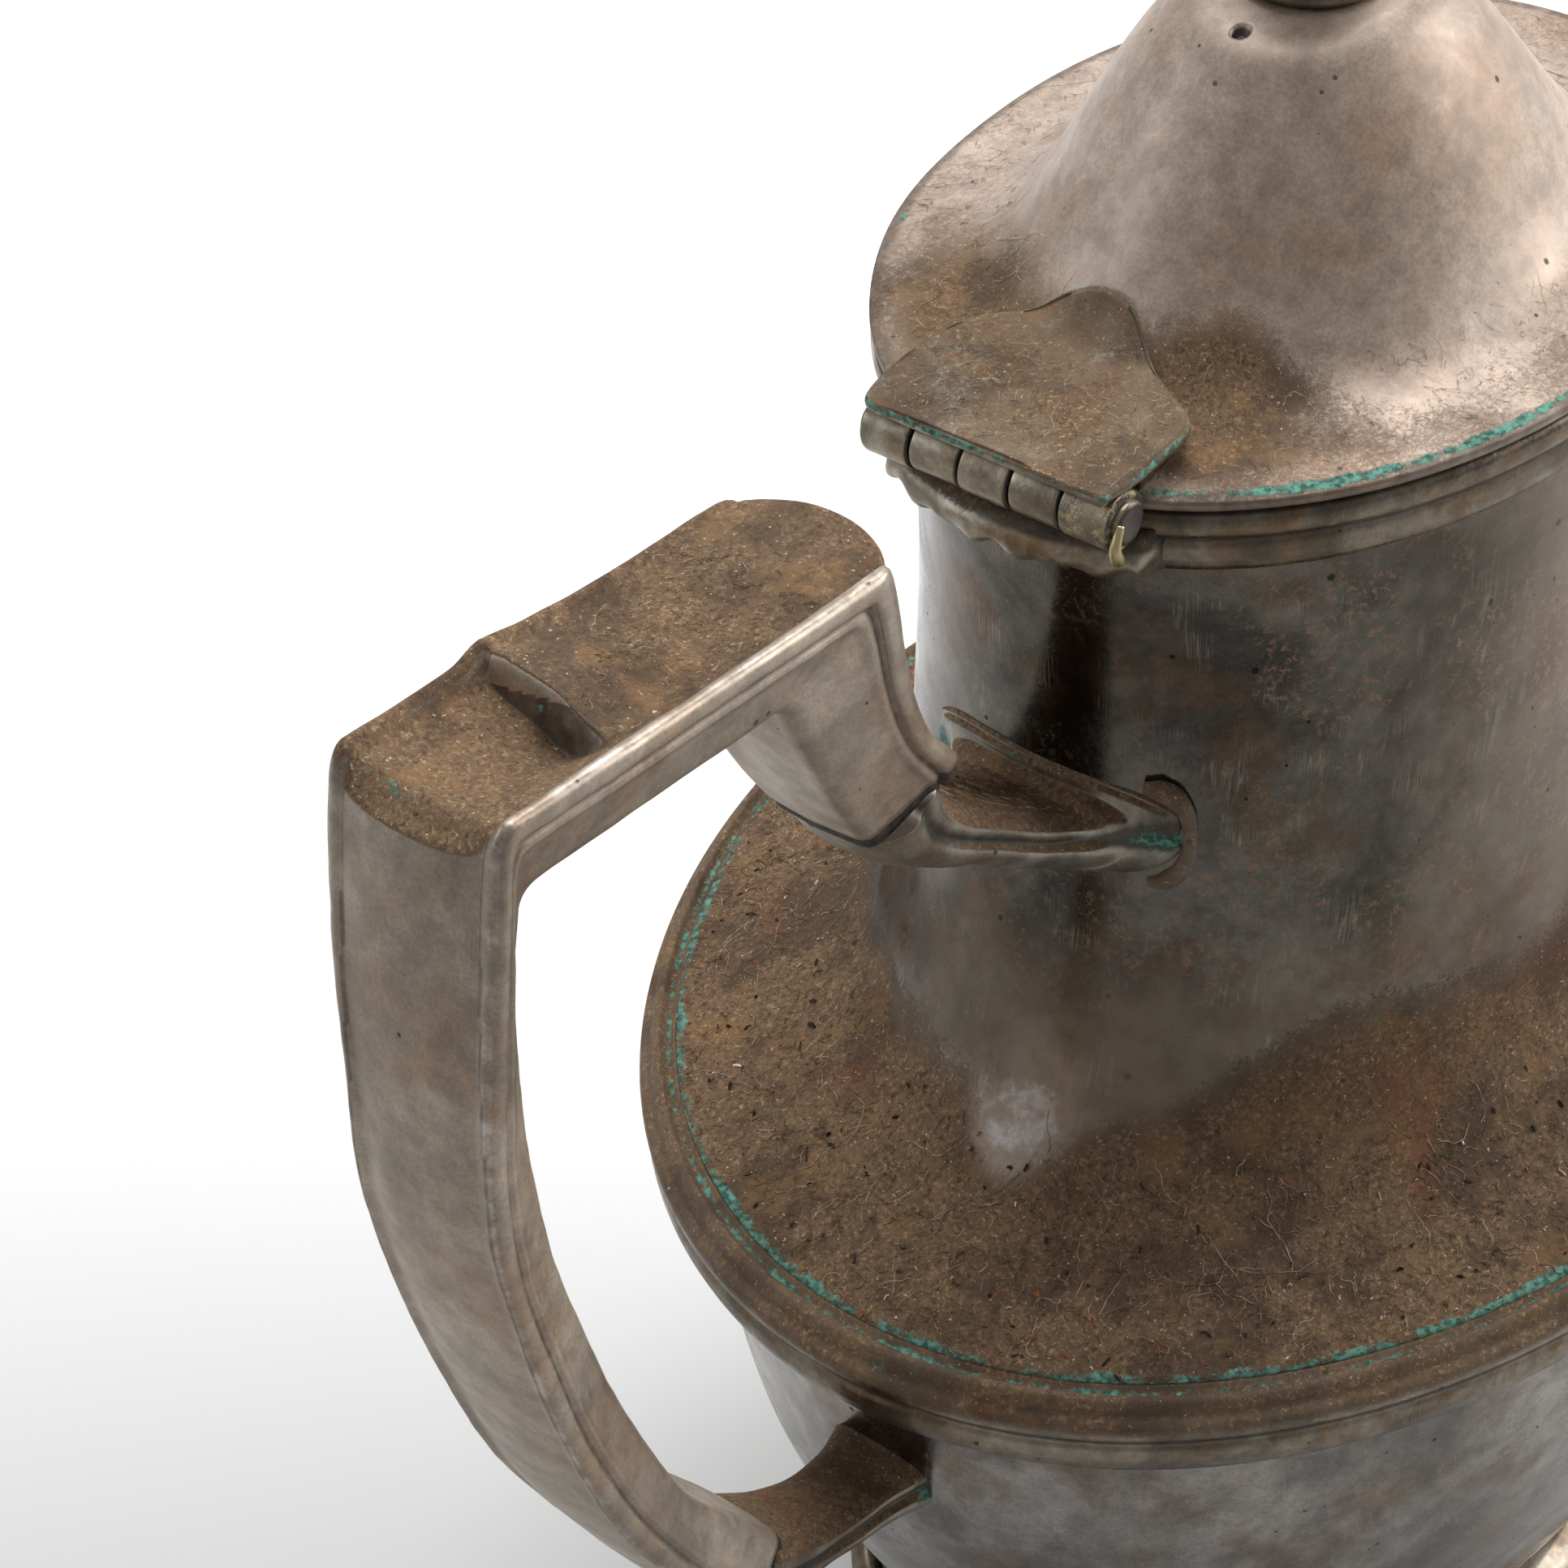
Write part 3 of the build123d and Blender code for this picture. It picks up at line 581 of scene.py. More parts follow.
# %% [markdown]
# # The lid
# The lid is raised from sheet as well: a nearly flat brim that sweeps up into a steep dome with a flat top. The
# dome is rounder in plan than the brim, so the plan ratio grows with height. The steam hole near the top is a
# small deep dimple, because its far end is out of sight, and the shade inside the hole is painted dark on it.

# %% Lid
LID_COLUMNS, DOME_OVAL, VENT_X, VENT_DEPTH = 336, 0.84, 9.3, 0.8
lid_points = [(38.75, 71.9), (37.6, 72.12), (34, 72.4), (30.2, 73.0), (27.0, 74.3), (24.2, 77.0), (21.4, 80.4),
              (18.4, 84.3), (14.9, 88.6), (12.4, 91.2), (11.2, 92.3), (9.8, 93.0), (8.2, 93.35), (5.0, 93.4),
              (2.2, 93.4)]
lid_side = even(through(raised(lid_points), 500), 205)
lid_back = even(beside(lid_side, 0.9 * MM), 40)[::-1]
lid_edge = raised([(38.6, 71.12), (38.8, 71.5)])
lid_profile = np.vstack([lid_side, lid_back, lid_edge])
lid_ratio = OVAL + (DOME_OVAL - OVAL) * step(lid_profile[:, 1] - SHOULDER_Z, 73 * MM, 92 * MM)
lid_grid = hinge_recess(uneven(oval_grid(lid_profile, LID_COLUMNS, lid_ratio), 0.08 * MM, 18 * MM, 5))
vent_gap = np.linalg.norm(lid_grid[..., :2] / MM - [VENT_X, 0], axis=-1)
vent = (1 - step(vent_gap, 0.5, 0.8)) * (lid_grid[..., 2] > SHOULDER_Z + 92.9 * MM)
lid_grid[..., 2] -= VENT_DEPTH * MM * vent
lid_rows = np.arange(len(lid_grid))[:, None] < len(lid_side)
lid_a = np.hypot(lid_grid[..., 0], lid_grid[..., 1] / OVAL) / MM
lid_z = (lid_grid[..., 2] - SHOULDER_Z) / MM
lid_turn = np.arctan2(lid_grid[..., 1] / OVAL, lid_grid[..., 0])
make_skin("lid", lid_grid, "lid", LID_METAL, ring=True, marks={
    "dust": lid_rows * ((0.22 + 0.22 * step(lid_a, 27, 35)) * step(-lid_z, -80, -73.4)
                        + 0.75 * hill(lid_turn, 0.38, 0.34) * hill(lid_a, 28, 7)
                        + 0.6 * hill(lid_turn, -0.55, 0.4) * hill(lid_a, 29, 6)),
    "green": lid_rows * hill(lid_a, 37.8, 0.8) * (0.4 + 0.6 * hill(lid_turn, 0.95, 0.6)),
    # Painted shade: the vent dimple is painted dark as the inside of a hole.
    "grime_and_shade": lid_rows * step(lid_a, 36.4, 38.2) * 0.55 + (1 - lid_rows) * 0.5 + 1.5 * vent,
    "wear_and_highlight": lid_rows * step(lid_z, 76, 84) * 0.25,
}, replaces=["lid_shell"])

# %% [markdown]
# The finial is turned on a lathe and bolted through the dome over a collar. A side-view line turned round the
# axis is what the lathe does too.

# %% Finial and its collar
def turned(name, points, replaces):
    """A round bar turned on the upright axis, from (radius, height over the dome's top) in millimetres."""
    line = even(through(points, 160), 90) * MM + [0, FINIAL_Z]
    grid = oval_grid(np.maximum(line, [0.02 * MM, 0]), 72, 1.0)
    return make_skin(name, grid, "lid", MOULDING_METAL, replaces=[replaces])


turned("finial_foot", [(4.8, 0.05), (5.5, 0.25), (5.65, 0.7), (5.3, 1.1), (4.4, 1.5), (3.8, 2.1), (3.5, 2.6)],
       "finial_collar")
turned("finial_knob", [(3.4, 2.65), (2.7, 4), (2.6, 5.4), (3.3, 7.8), (5.2, 9.6), (6.9, 11), (7.35, 12.6),
                       (6.6, 14.2), (4.8, 15.8), (2.8, 16.8), (2.0, 17.9), (1.9, 19), (1.2, 19.8), (0.1, 20)],
       "finial")

# %% [markdown]
# # The handle
# The handle is a hollow box that climbs away from the neck, turns flat towards the user, and drops in a long
# bow back to the bowl. Its outer strap is wider than the box under it, with a bead along both edges. Each row
# below is one cut through it: the outer line, the inner line, how far the outer face is crowned, and the
# thickness. A cut at a corner is a mitre, so it is longer than the thickness, and depths stretch with it.

# %% Handle lines
limb = [(53.5, 58.0, 61.9, 55.2, -1.3, 0.5, 8.7), (56.8, 62.6, 64.7, 60.2, -1.9, 0.6, 8.5),
        (59.3, 69.3, 67.6, 66.8, -3.0, 0.4, 8.2), (60.7, 77.6, 69.5, 71.4, -3.8, 0.1, 7.9)]
arm = [(61.9, 79.36, 70.9, 72.95, -4.1, 0.0, 6.8), (97.2, 83.2, 94.3, 75.35, 0.3, 0.0, 6.8)]
grip = [(98.9, 80.9, 96.1, 74.2, 1.0, 0.1, 6.0), (100.1, 74.5, 96.9, 70, 1.2, 0.1, 5.2),
        (101.2, 67.5, 97.2, 64.5, 1.25, 0.1, 4.8), (102.0, 60.5, 97.2, 58.5, 1.25, 0.05, 5.0),
        (102.6, 53.0, 97.0, 51.5, 1.25, 0, 5.6), (102.5, 47.5, 96.4, 45.5, 1.25, -0.1, 5.9),
        (101.2, 38.7, 94.9, 37, 1.25, -0.2, 6.1), (98.6, 26.5, 92.2, 26, 1.2, -0.3, 6.3),
        (94.9, 14.8, 88.8, 15.5, 1.1, -0.45, 6.2), (91.0, 6.2, 85.3, 7.0, 1.0, -0.6, 5.9),
        (86.6, -2.2, 80.6, 0.2, 0.9, -0.6, 6.3), (82.4, -8.6, 76.6, -5.6, 0.7, -0.6, 6.5)]
near_corner, far_corner = (60.95, 79.25, 70.1, 72.6, -4.1, 0, 7.4), (98.3, 83.35, 95.7, 75.4, 0.7, 0, 6.6)


def bent(a, corner, b, count):
    """A short curve from a to b pulled towards the corner: a quadratic Bezier."""
    t = np.linspace(0, 1, count + 2)[1:-1, None]
    a, corner, b = map(np.asarray, (a, corner, b))
    return (1 - t) ** 2 * a + 2 * t * (1 - t) * corner + t**2 * b


def tight(share):
    """Spacing from 0 to 1 with most of its points close to the given share."""
    t = np.linspace(0, 1, 150)
    pull = np.cumsum(1 + 5 * hill(t, share, 0.05))
    return (pull - pull[0]) / (pull[-1] - pull[0])


arm_t = np.interp(np.linspace(0, 1, 150), tight(0.69), np.linspace(0, 1, 150))[:, None]
arm_rows = np.array(arm[0]) * (1 - arm_t) + np.array(arm[1]) * arm_t
arm_rows[:, 4] = -4.1 * np.clip(1 - arm_t[:, 0] / 0.3, 0, 1) ** 2 + 0.3 * step(arm_t[:, 0], 0.9, 1)
stations = np.vstack([through(limb, 34), bent(limb[-1], near_corner, arm[0], 8), arm_rows,
                      bent(arm[1], far_corner, grip[0], 12), through(grip, 170)])
print(len(stations), "cuts, thickness", stations[:, 6].min(), "to", stations[:, 6].max(), "mm")

# %% [markdown]
# Half of one cut, from the middle of the outer face to the middle of the inner face. Each point gives a depth
# under the outer line, a share of the thickness to add to it, and the distance from the middle plane.

# %% Section of the handle
HALF_STRAP = 7.5
section = np.array([(0.25, 0, 0), (0.25, 0, 2), (0.25, 0, 4), (0.25, 0, 5.2), (0.28, 0, 5.75), (0.24, 0, 6.0),
                    (0.08, 0, 6.25), (-0.12, 0, 6.5), (-0.22, 0, 6.8), (-0.17, 0, 7.1), (0.02, 0, 7.35),
                    (0.35, 0, 7.5), (0.95, 0, 7.5), (1.2, 0, 7.4), (1.36, 0, 7.1), (1.5, 0, 6.85),
                    (1.7, 0, 6.75), (1.9, 0, 6.88), (2.05, 0, 7.04), (2.3, 0, 7.08), (2.5, 0, 6.92),
                    (2.8, 0, 6.7), (0, 0.62, 6.25), (-1.0, 1, 5.75), (-0.5, 1, 5.45), (-0.15, 1, 4.95),
                    (-0.02, 1, 4.4), (0.08, 1, 2.4), (0.15, 1, 0)])
half = even(section * [1, 6, 1], 84) / [1, 6, 1]
loop = np.vstack([half, (half * [1, 1, -1])[-2:0:-1]])


def thumb_rest(x, y):
    """Depth to add to the arm's upper face, in millimetres. It swells to a crest that is highest on the far
    side and dies out at the near bead. Behind the crest is a hollow that rises again towards the corner."""
    tall = np.interp(y, [-7.5, -5, 0, 3.5, 5.6, 6.6], [0.85, 1.25, 1.05, 0.5, 0.1, 0])
    crest = 85.4 + 0.12 * (y + 4)
    before = 1 - step(x, crest - 0.1, crest + 0.8)
    tail = hill(np.maximum(x - crest, 0), 0, 1.7) * step(-y, 5.4, 6.6)
    swell = -tall * np.clip((x - 73) / 12.6, 0, 1) ** 2.2 * np.maximum(before, tail)
    scoop = 0.45 * hill(y, 3.2, 2.2) * step(x, 68, 80) * before
    inside = np.clip(1 - np.abs((y + 0.6) / 6.9) ** 2.4, 0, 1)
    rising = 1 - np.clip((x - 86.5) / 11, 0, 1)
    hollow = (1.1 + 0.5 * rising + 1.3 * hill(y, 2.4, 2.6) * rising**1.5) * (1 - before) * inside
    flush = -0.42 * (1 - step(x, 62, 72)) * (1 - step(np.abs(y), 5.8, 6.5))
    return swell + scoop + hollow + flush


def handle_grid(rows, cuts):
    """Places the section in every cut: outer point + (inner point - outer point) * depth / thickness, with
    the crown added to the outer face, most in its middle."""
    depth = cuts[None, :, 0] + cuts[None, :, 1] * rows[:, 6:7]
    y = np.broadcast_to(cuts[None, :, 2], depth.shape)
    on_face = (cuts[:, 1] == 0) & (cuts[:, 0] < 0.36)
    outer = np.clip(1 - np.maximum(cuts[:, 0], 0) / 3.2, 0, 1) * (cuts[:, 1] == 0)
    on_arm = np.where(rows[:, 0] < 97, rows[:, 1] > 79.0, step(rows[:, 1], 80.2, 83.0))[:, None]
    depth = depth + on_face * on_arm * thumb_rest(rows[:, 0:1], y)
    share = depth / rows[:, 6:7]
    crown = outer * np.clip(1 - np.abs(y / HALF_STRAP) ** 2.1, 0, 1)
    x = rows[:, 0:1] + (rows[:, 2:3] - rows[:, 0:1]) * share + rows[:, 4:5] * crown
    z = rows[:, 1:2] + (rows[:, 3:4] - rows[:, 1:2]) * share + rows[:, 5:6] * crown
    width = np.interp(rows[:, 1:2], [57, 74], [6.6 / HALF_STRAP, 1])
    return np.stack([x, y * width, z + SHOULDER_Z / MM], -1) * MM


def bar_normals(grid):
    """The unit normal at each point of a bar, turned away from the middle of its own row."""
    n = np.cross(np.roll(grid, -1, 1) - np.roll(grid, 1, 1), np.gradient(grid, axis=0))
    n /= np.linalg.norm(n, axis=2)[..., None] + 1e-12
    return n * np.sign((n * (grid - grid.mean(axis=1, keepdims=True))).sum())


# %% [markdown]
# Now the section is carried through all the cuts, and the metal gets its waves and three shallow dents. Dust lies
# on what faces up, dirt fills the groove beside the bead, and the near bead is rubbed bright by fingers.

# %% Handle
handle = handle_grid(stations, loop)
face = bar_normals(handle)
waves = 0.05 * MM * ripple(handle, 9 * MM, 21) + 0.03 * MM * ripple(handle, 3 * MM, 22)
handle = handle + face * waves[..., None]
for x, y, z, radius, depth in [(101, 3.5, 122, 5, 0.3), (98.5, 0, 106, 6, 0.35), (74, -2, 160, 5, 0.15)]:
    gap = np.linalg.norm(handle / MM - [x, y, z], axis=-1)
    handle = handle - face * (depth * MM * hill(gap, 0, radius))[..., None]
handle[..., 0] = np.minimum(handle[..., 0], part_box("handle_strap")[1][0])
x_mm, z_mm, y_mm = handle[..., 0] / MM, (handle[..., 2] - SHOULDER_Z) / MM, handle[..., 1] / MM
loop_depth = np.broadcast_to(loop[None, :, 0] + loop[None, :, 1] * 6, x_mm.shape)
on_top = step(face[..., 2], 0.3, 0.85)
handle_marks = {
    "dust": on_top * 0.85 * (1 - hill(loop_depth, -0.15, 0.22) * (y_mm > 6.3))
    + (x_mm > 96) * (loop_depth < 1) * step(z_mm, 20, 60) * 0.22,
    "grime_and_shade": hill(loop_depth, 1.62, 0.22) * 0.75 + (np.abs(np.abs(y_mm) - 5.9) < 0.22) * (loop_depth < 0.6) * 0.5
    + (x_mm > 86) * (x_mm < 95) * (np.abs(y_mm) < 5.8) * (z_mm > 78) * 0.6,
    "green": hill(x_mm, 86.2, 0.5) * (z_mm > 80) * 0.55 + hill(loop_depth, 1.62, 0.3) * 0.22
    + hill(np.hypot(x_mm - 98.4, z_mm - 82.5), 0, 2.2) * 0.5,
    "solder": hill(loop_depth, 1.0, 0.3) * (y_mm > 0) * step(-z_mm, -74, -40) * 0.6,
    "wear_and_highlight": hill(loop_depth, -0.15, 0.2) * np.where(y_mm > 0, 0.46, 0.1),
}
make_skin("handle", handle, "pot", HANDLE_METAL, marks=handle_marks,
          replaces=["handle_strap", "handle_tube", "thumb_rest"])

# %% [markdown]
# The handle is kept apart from the hot body by two thin washers. Behind each is a cast branch soldered to the
# wall: narrow in the middle, spread at its foot. Its rows are cuts along a centre line, squarish ovals, and
# near the foot each point moves in with the wall, which curves away to both sides.

# %% Branches and washers
def branch(name, centre, thick, wide, wall_a, replaces, groove=0.55):
    """A bar along a side-view centre line whose foot follows an oval wall of half length wall_a."""
    line = through(np.column_stack([centre, thick, wide]), 130)
    along = np.gradient(line[:, :2], axis=0)
    along /= np.linalg.norm(along, axis=1)[:, None]
    t = np.linspace(0, 2 * math.pi, 96, endpoint=False)
    flat_n = np.sign(np.sin(t)) * np.abs(np.sin(t)) ** 0.9
    flat_y = np.sign(np.cos(t)) * np.abs(np.cos(t)) ** 0.75
    dip = 1 - groove / line[:, 3:4] * hill(flat_n, -0.1, 0.22)
    y = line[:, 3:4] * flat_y * dip
    n = line[:, 2:3] / 2 * flat_n
    wall = wall_a * np.sqrt(1 - np.clip(y / (wall_a * OVAL), -1, 1) ** 2) - wall_a
    near = 1 - step(line[:, 0:1], wall_a + 1.5, wall_a + 10)
    x = line[:, 0:1] - along[:, 1:2] * n + wall * near
    z = line[:, 1:2] + along[:, 0:1] * n
    grid = np.stack([x, y, z + SHOULDER_Z / MM], -1) * MM
    face = bar_normals(grid)
    grid = grid + face * (0.1 * MM * ripple(grid, 6 * MM, 31))[..., None]
    foot_edge = step(-line[:, 0:1], -(wall_a + 2.2), -(wall_a + 0.4))
    lip = 1 - step(line[:, 0:1], line[0, 0] - 2.4, line[0, 0] - 0.6)
    marks = {
        "dust": step(face[..., 2], 0.15, 0.6) * 1.1,
        "green": np.broadcast_to(foot_edge * 0.4 + (1 - lip) * 0.25, x.shape) + 0.35 * hill(flat_n, 0, 0.2),
        "grime_and_shade": hill(flat_n, -0.1, 0.25) * 0.7 + foot_edge * 0.4,
        "solder": foot_edge * 0.3 + np.zeros_like(x),
    }
    return make_skin(name, grid, "pot", SOCKET_METAL, marks=marks, replaces=replaces)


upper_line = [(57.2, 55.4), (55.6, 52.0), (52.1, 48.5), (46.8, 44.6), (42.4, 41.2), (39.0, 39.0), (37.2, 38.5),
              (36.2, 38.4), (35.4, 38.4)]
branch("upper_branch", upper_line, [8.3, 7.3, 5.9, 5.4, 5.5, 6.0, 7.4, 9.2, 10.0],
       [6.5, 6.1, 5.7, 5.7, 6.0, 6.8, 8.8, 11.6, 12.3], 36.2, ["upper_socket"])
lower_line = [(78.8, -8.5), (75.4, -11.2), (71.4, -14.0), (66.6, -16.2), (62.6, -17.2), (60, -17.6), (58.4, -17.8)]
branch("lower_branch", lower_line, [6.4, 5.9, 5.5, 5.3, 5.6, 6.3, 7.0], [6.3, 5.6, 4.6, 4.1, 4.2, 4.8, 5.4], 58.9,
       ["lower_socket"])


def washer(name, row, push, replaces):
    """A thin plate with the outline of one cut of the handle, drawn in a little, and as long as the push."""
    middle = row.mean(axis=0)
    small = middle + (row - middle) * 0.95
    rows = [small - push * 0.3 * MM, small + push * 0.2 * MM, small + push * 1.0 * MM, small + push * 1.5 * MM]
    make_skin(name, np.stack(rows), "pot", WASHER, replaces=replaces)


washer("upper_washer", handle[0], np.array([-0.35, 0, -0.94]), ["upper_insulator"])
washer("lower_washer", handle[-1], np.array([-0.55, 0, -0.83]), ["lower_insulator"])

# %% [markdown]
# The foot of the upper branch ends in a small rolled scroll, thick at its two ends, which hugs the neck.

# %% Scrolls and solder
def lump(name, points, radii, finish, marks):
    """A rod along a line of points in millimetres over the shoulder line, its radius given at each one."""
    line = through(np.column_stack([points, radii]), 40)
    t = np.linspace(0, 2 * math.pi, 20, endpoint=False)
    along = np.gradient(line[:, :3], axis=0)
    along /= np.linalg.norm(along, axis=1)[:, None]
    side_way = np.cross(along, [0.7, 0.2, 0.31])
    side_way /= np.linalg.norm(side_way, axis=1)[:, None]
    up_way = np.cross(side_way, along)
    ring_way = side_way[:, None] * np.cos(t)[None, :, None] + up_way[:, None] * np.sin(t)[None, :, None]
    grid = (line[:, None, :3] + ring_way * line[:, 3][:, None, None] + [0, 0, SHOULDER_Z / MM]) * MM
    grid = grid + 0.08 * MM * ripple(grid, 1.6 * MM, 51)[..., None] * ring_way
    return make_skin(name, grid, "pot", finish, marks=marks)


scroll_y = np.array([9.0, 10.6, 11.8, 12.2, 11.9, 10.8, 9.4])
scroll_z = np.array([43.2, 43.0, 41.4, 38.6, 36.0, 34.4, 34.0])
scroll_x = 36.0 * np.sqrt(1 - (scroll_y / (36.0 * OVAL)) ** 2) + 0.1
lump("scroll", np.column_stack([scroll_x, scroll_y, scroll_z]), [0.5, 0.85, 0.7, 0.55, 0.75, 0.85, 0.5],
     SOCKET_METAL, {"dust": 0.6, "green": 0.35})

# %% [markdown]
# # The hinge
# A shield plate with a lobe is soldered to the lid and runs out over the barrel. Five knuckles turn on one pin:
# three belong to the rim, two to the lid. The plate's skin shrinks its outline towards a point for the upper
# face, and the lobe climbs the dome because its height follows the lid.

# %% Shield plate
plate_outline = even(through([(41.2, -9.6), (41.2, 0), (41.1, 9.6), (40.4, 10.5), (37.5, 10.8), (34, 10.8),
                              (30.8, 10.5), (29.4, 9.5), (28.2, 7.6), (26.9, 5.4), (25.8, 3.7), (24.9, 2.5),
                              (24.0, 1.2), (23.5, -0.5), (23.4, -2.7), (23.8, -4.9), (24.6, -6.8), (25.8, -8.7),
                              (27.8, -10.6), (30.4, -11.6), (33.6, -11.9), (37.2, -11.8), (40.4, -11.1),
                              (41.2, -9.8)], 400), 220)[:-1]
PLATE_TOP_MM = 75.0
plate_middle = np.array([33.0, -0.6])


def lid_height(x, y):
    """The lid's upper face over the shoulder line at a plan point, in millimetres."""
    order = np.argsort(lid_side[:, 0])
    return (np.interp(np.hypot(x, y / OVAL) * MM, lid_side[order, 0], lid_side[order, 1]) - SHOULDER_Z) / MM


def plate_face(shrink, drop, inset=0.0):
    """One shrunken outline, at the plate's own height or 0.75 mm over the lid, whichever is higher, with a soft
    change between them (the log of a sum of exponentials), less the drop. With no drop it is the lower face."""
    p = plate_middle + (plate_outline - plate_middle) * shrink
    inward = plate_middle - plate_outline
    p = p + inward / np.linalg.norm(inward, axis=1)[:, None] * inset
    under = lid_height(p[:, 0], p[:, 1])
    high = np.log(1 + np.exp((under + 0.75 - PLATE_TOP_MM) * 3)) / 3 + PLATE_TOP_MM
    low = np.where(p[:, 0] > 35.8, 74.5, under + 0.03)
    z = np.minimum(low, high - 0.3) if drop is None else high - drop
    return np.column_stack([p, z])


plate_rows = [plate_face(s, 0) for s in np.linspace(0.02, 0.97, 34)]
plate_rows += [plate_face(1, drop, inset) for drop, inset in [(0.02, 0.35), (0.1, 0.14), (0.28, 0.03), (0.5, 0),
                                                              (0.75, 0.02), (0.95, 0.3)]] + [plate_face(0.93, 0.97)]
plate_rows += [plate_face(s, None) for s in np.linspace(0.9, 0.02, 8)]
plate_grid = (np.stack(plate_rows) + [0, 0, SHOULDER_Z / MM]) * MM
plate_grid[:34, :, 2] += 0.1 * MM * ripple(plate_grid[:34], 7 * MM, 41)
plate_top = np.arange(len(plate_grid))[:, None] < 37
plate_edge = hill(np.arange(len(plate_grid))[:, None], 36, 1.8)
make_skin("hinge_shield", plate_grid, "lid", HINGE_METAL, marks={
    "dust": plate_top * 0.6, "green": plate_edge * 0.8, "wear_and_highlight": plate_edge * 0.4, "grime_and_shade": plate_edge * 0.3,
}, replaces=["hinge_plate"])

# %% [markdown]
# The knuckles are short tubes on one pin, taking turns between the pot and the lid. Round bars with bevelled ends
# show the same outside, with dirt in the joints between them.

# %% Barrel
def rod_y(name, radius, y0, y1, body, replaces, bevel=0.3, marks=None, phase=0.0):
    """A round bar along Y on the pin's axis, its ends bevelled, its radius wobbling a little with the angle."""
    ends = np.linspace(0, 1, 7)
    curve = np.sin(ends * math.pi / 2)
    left = [(y0 + bevel * e * e, radius - bevel + bevel * c) for e, c in zip(ends, curve)]
    right = [(y0 + y1 - y, r) for y, r in left[::-1]]
    line = np.array(left + [(y, radius) for y in np.linspace(y0 + bevel, y1 - bevel, 12)[1:-1]] + right)
    t = np.linspace(0, 2 * math.pi, 56, endpoint=False)
    wobble = 1 + 0.012 * np.sin(3 * t + phase)
    x = PIN[0] / MM + line[:, 1:2] * wobble * np.cos(t)
    z = PIN[2] / MM + line[:, 1:2] * wobble * np.sin(t)
    grid = np.stack([x, np.broadcast_to(line[:, 0:1], x.shape), z], -1) * MM
    top = step(np.sin(t), 0.2, 0.9)[None, :]
    ends_dark = hill(np.minimum(line[:, 0:1] - y0, y1 - line[:, 0:1]), 0, 0.22)
    marks = {"dust": top * 0.3, "grime_and_shade": ends_dark * 0.9, **(marks or {})}
    return make_skin(name, grid, body, HINGE_METAL, marks=marks, replaces=[replaces])


knuckle_length = 2 * 11.0 / 5
for i, (body, node) in enumerate([("pot", "body_knuckle_1"), ("lid", "lid_knuckle_1"), ("pot", "body_knuckle_2"),
                                  ("lid", "lid_knuckle_2"), ("pot", "body_knuckle_3")]):
    start = -11.0 + i * knuckle_length
    size = 2.33 if body == "pot" else 2.24
    rod_y("knuckle_" + str(i + 1), size, start + 0.05, start + knuckle_length - 0.05, body, node,
          marks={"solder": 0.5 if i == 4 else 0.12}, phase=i * 1.3)
rod_y("pin", 1.7, -11.5, 11.5, "pot", "hinge_pin", bevel=0.5)

# %% [markdown]
# The leaf holds the pot's knuckles to the mouth moulding. It follows the oval, so its side view is carried along
# the rim and falls back with it. Whoever mended the hinge left two runs of solder, which are thin bent rods.

# %% Leaf and solder flash
LEAF_LINE = even(through([(38.0, 69.4), (39.6, 69.2), (40.6, 68.4), (41.1, 67.3), (40.6, 66.3), (39.2, 65.6),
                          (37.4, 65.2), (36.2, 66), (36.0, 68), (36.6, 69.2), (38.0, 69.4)], 60), 49)[:-1]


def leaf_rows(y0, y1, line, count=60, wave=0.3):
    """A closed side-view line carried along the rim: x falls back with the oval, and the lower part waves."""
    y = np.linspace(y0, y1, count)[:, None]
    back = 38.8 * (np.sqrt(1 - (y / (38.8 * OVAL)) ** 2) - 1)
    lower = step(-line[None, :, 1], -68, -66)
    x = line[None, :, 0] + back - 0.25 * lower * np.sin(y * 1.9 + 0.6)
    z = line[None, :, 1] + wave * lower * np.sin(y * 1.25 + 1.0) + SHOULDER_Z / MM
    return np.stack([x, np.broadcast_to(y, x.shape), z], -1) * MM


leaf = leaf_rows(-11.2, 11.2, LEAF_LINE)
leaf_z = (leaf[..., 2] - SHOULDER_Z) / MM
make_skin("leaf", leaf, "pot", HINGE_METAL, marks={
    "dust": step(leaf_z, 67.6, 69) * 0.5, "solder": step(-leaf_z, -66.6, -65.8) * 0.25,
    "grime_and_shade": step(leaf_z, 68.0, 69.0) * 0.7 + 0.3}, replaces=["hinge_leaf"])
lump("solder_flash", [(40.4, 11.35, 72.6), (41.2, 11.45, 71.2), (40.8, 11.3, 70.0), (40.0, 10.8, 69.1),
                      (39.2, 10.2, 68.5)],
     [0.3, 0.45, 0.5, 0.5, 0.2], HINGE_METAL, {"solder": 1.0})
lump("solder_run", [(39.2, 10.9, 70.3), (39.3, 6, 69.7), (39.6, 0, 69.6), (39.3, -6, 69.6), (38.9, -10.9, 70)],
     [0.4, 0.3, 0.35, 0.3, 0.4], HINGE_METAL, {"solder": 0.12, "grime_and_shade": 0.7})

# %% [markdown]
# # What the metal carries
# A pot kept in a loft gathers lint. Every hair is a three-sided tube along a wandering line that lies on the
# shoulder, on the lid's brim, on the hinge plate or on the handle. Crumbs of grit are very short, thick ones.

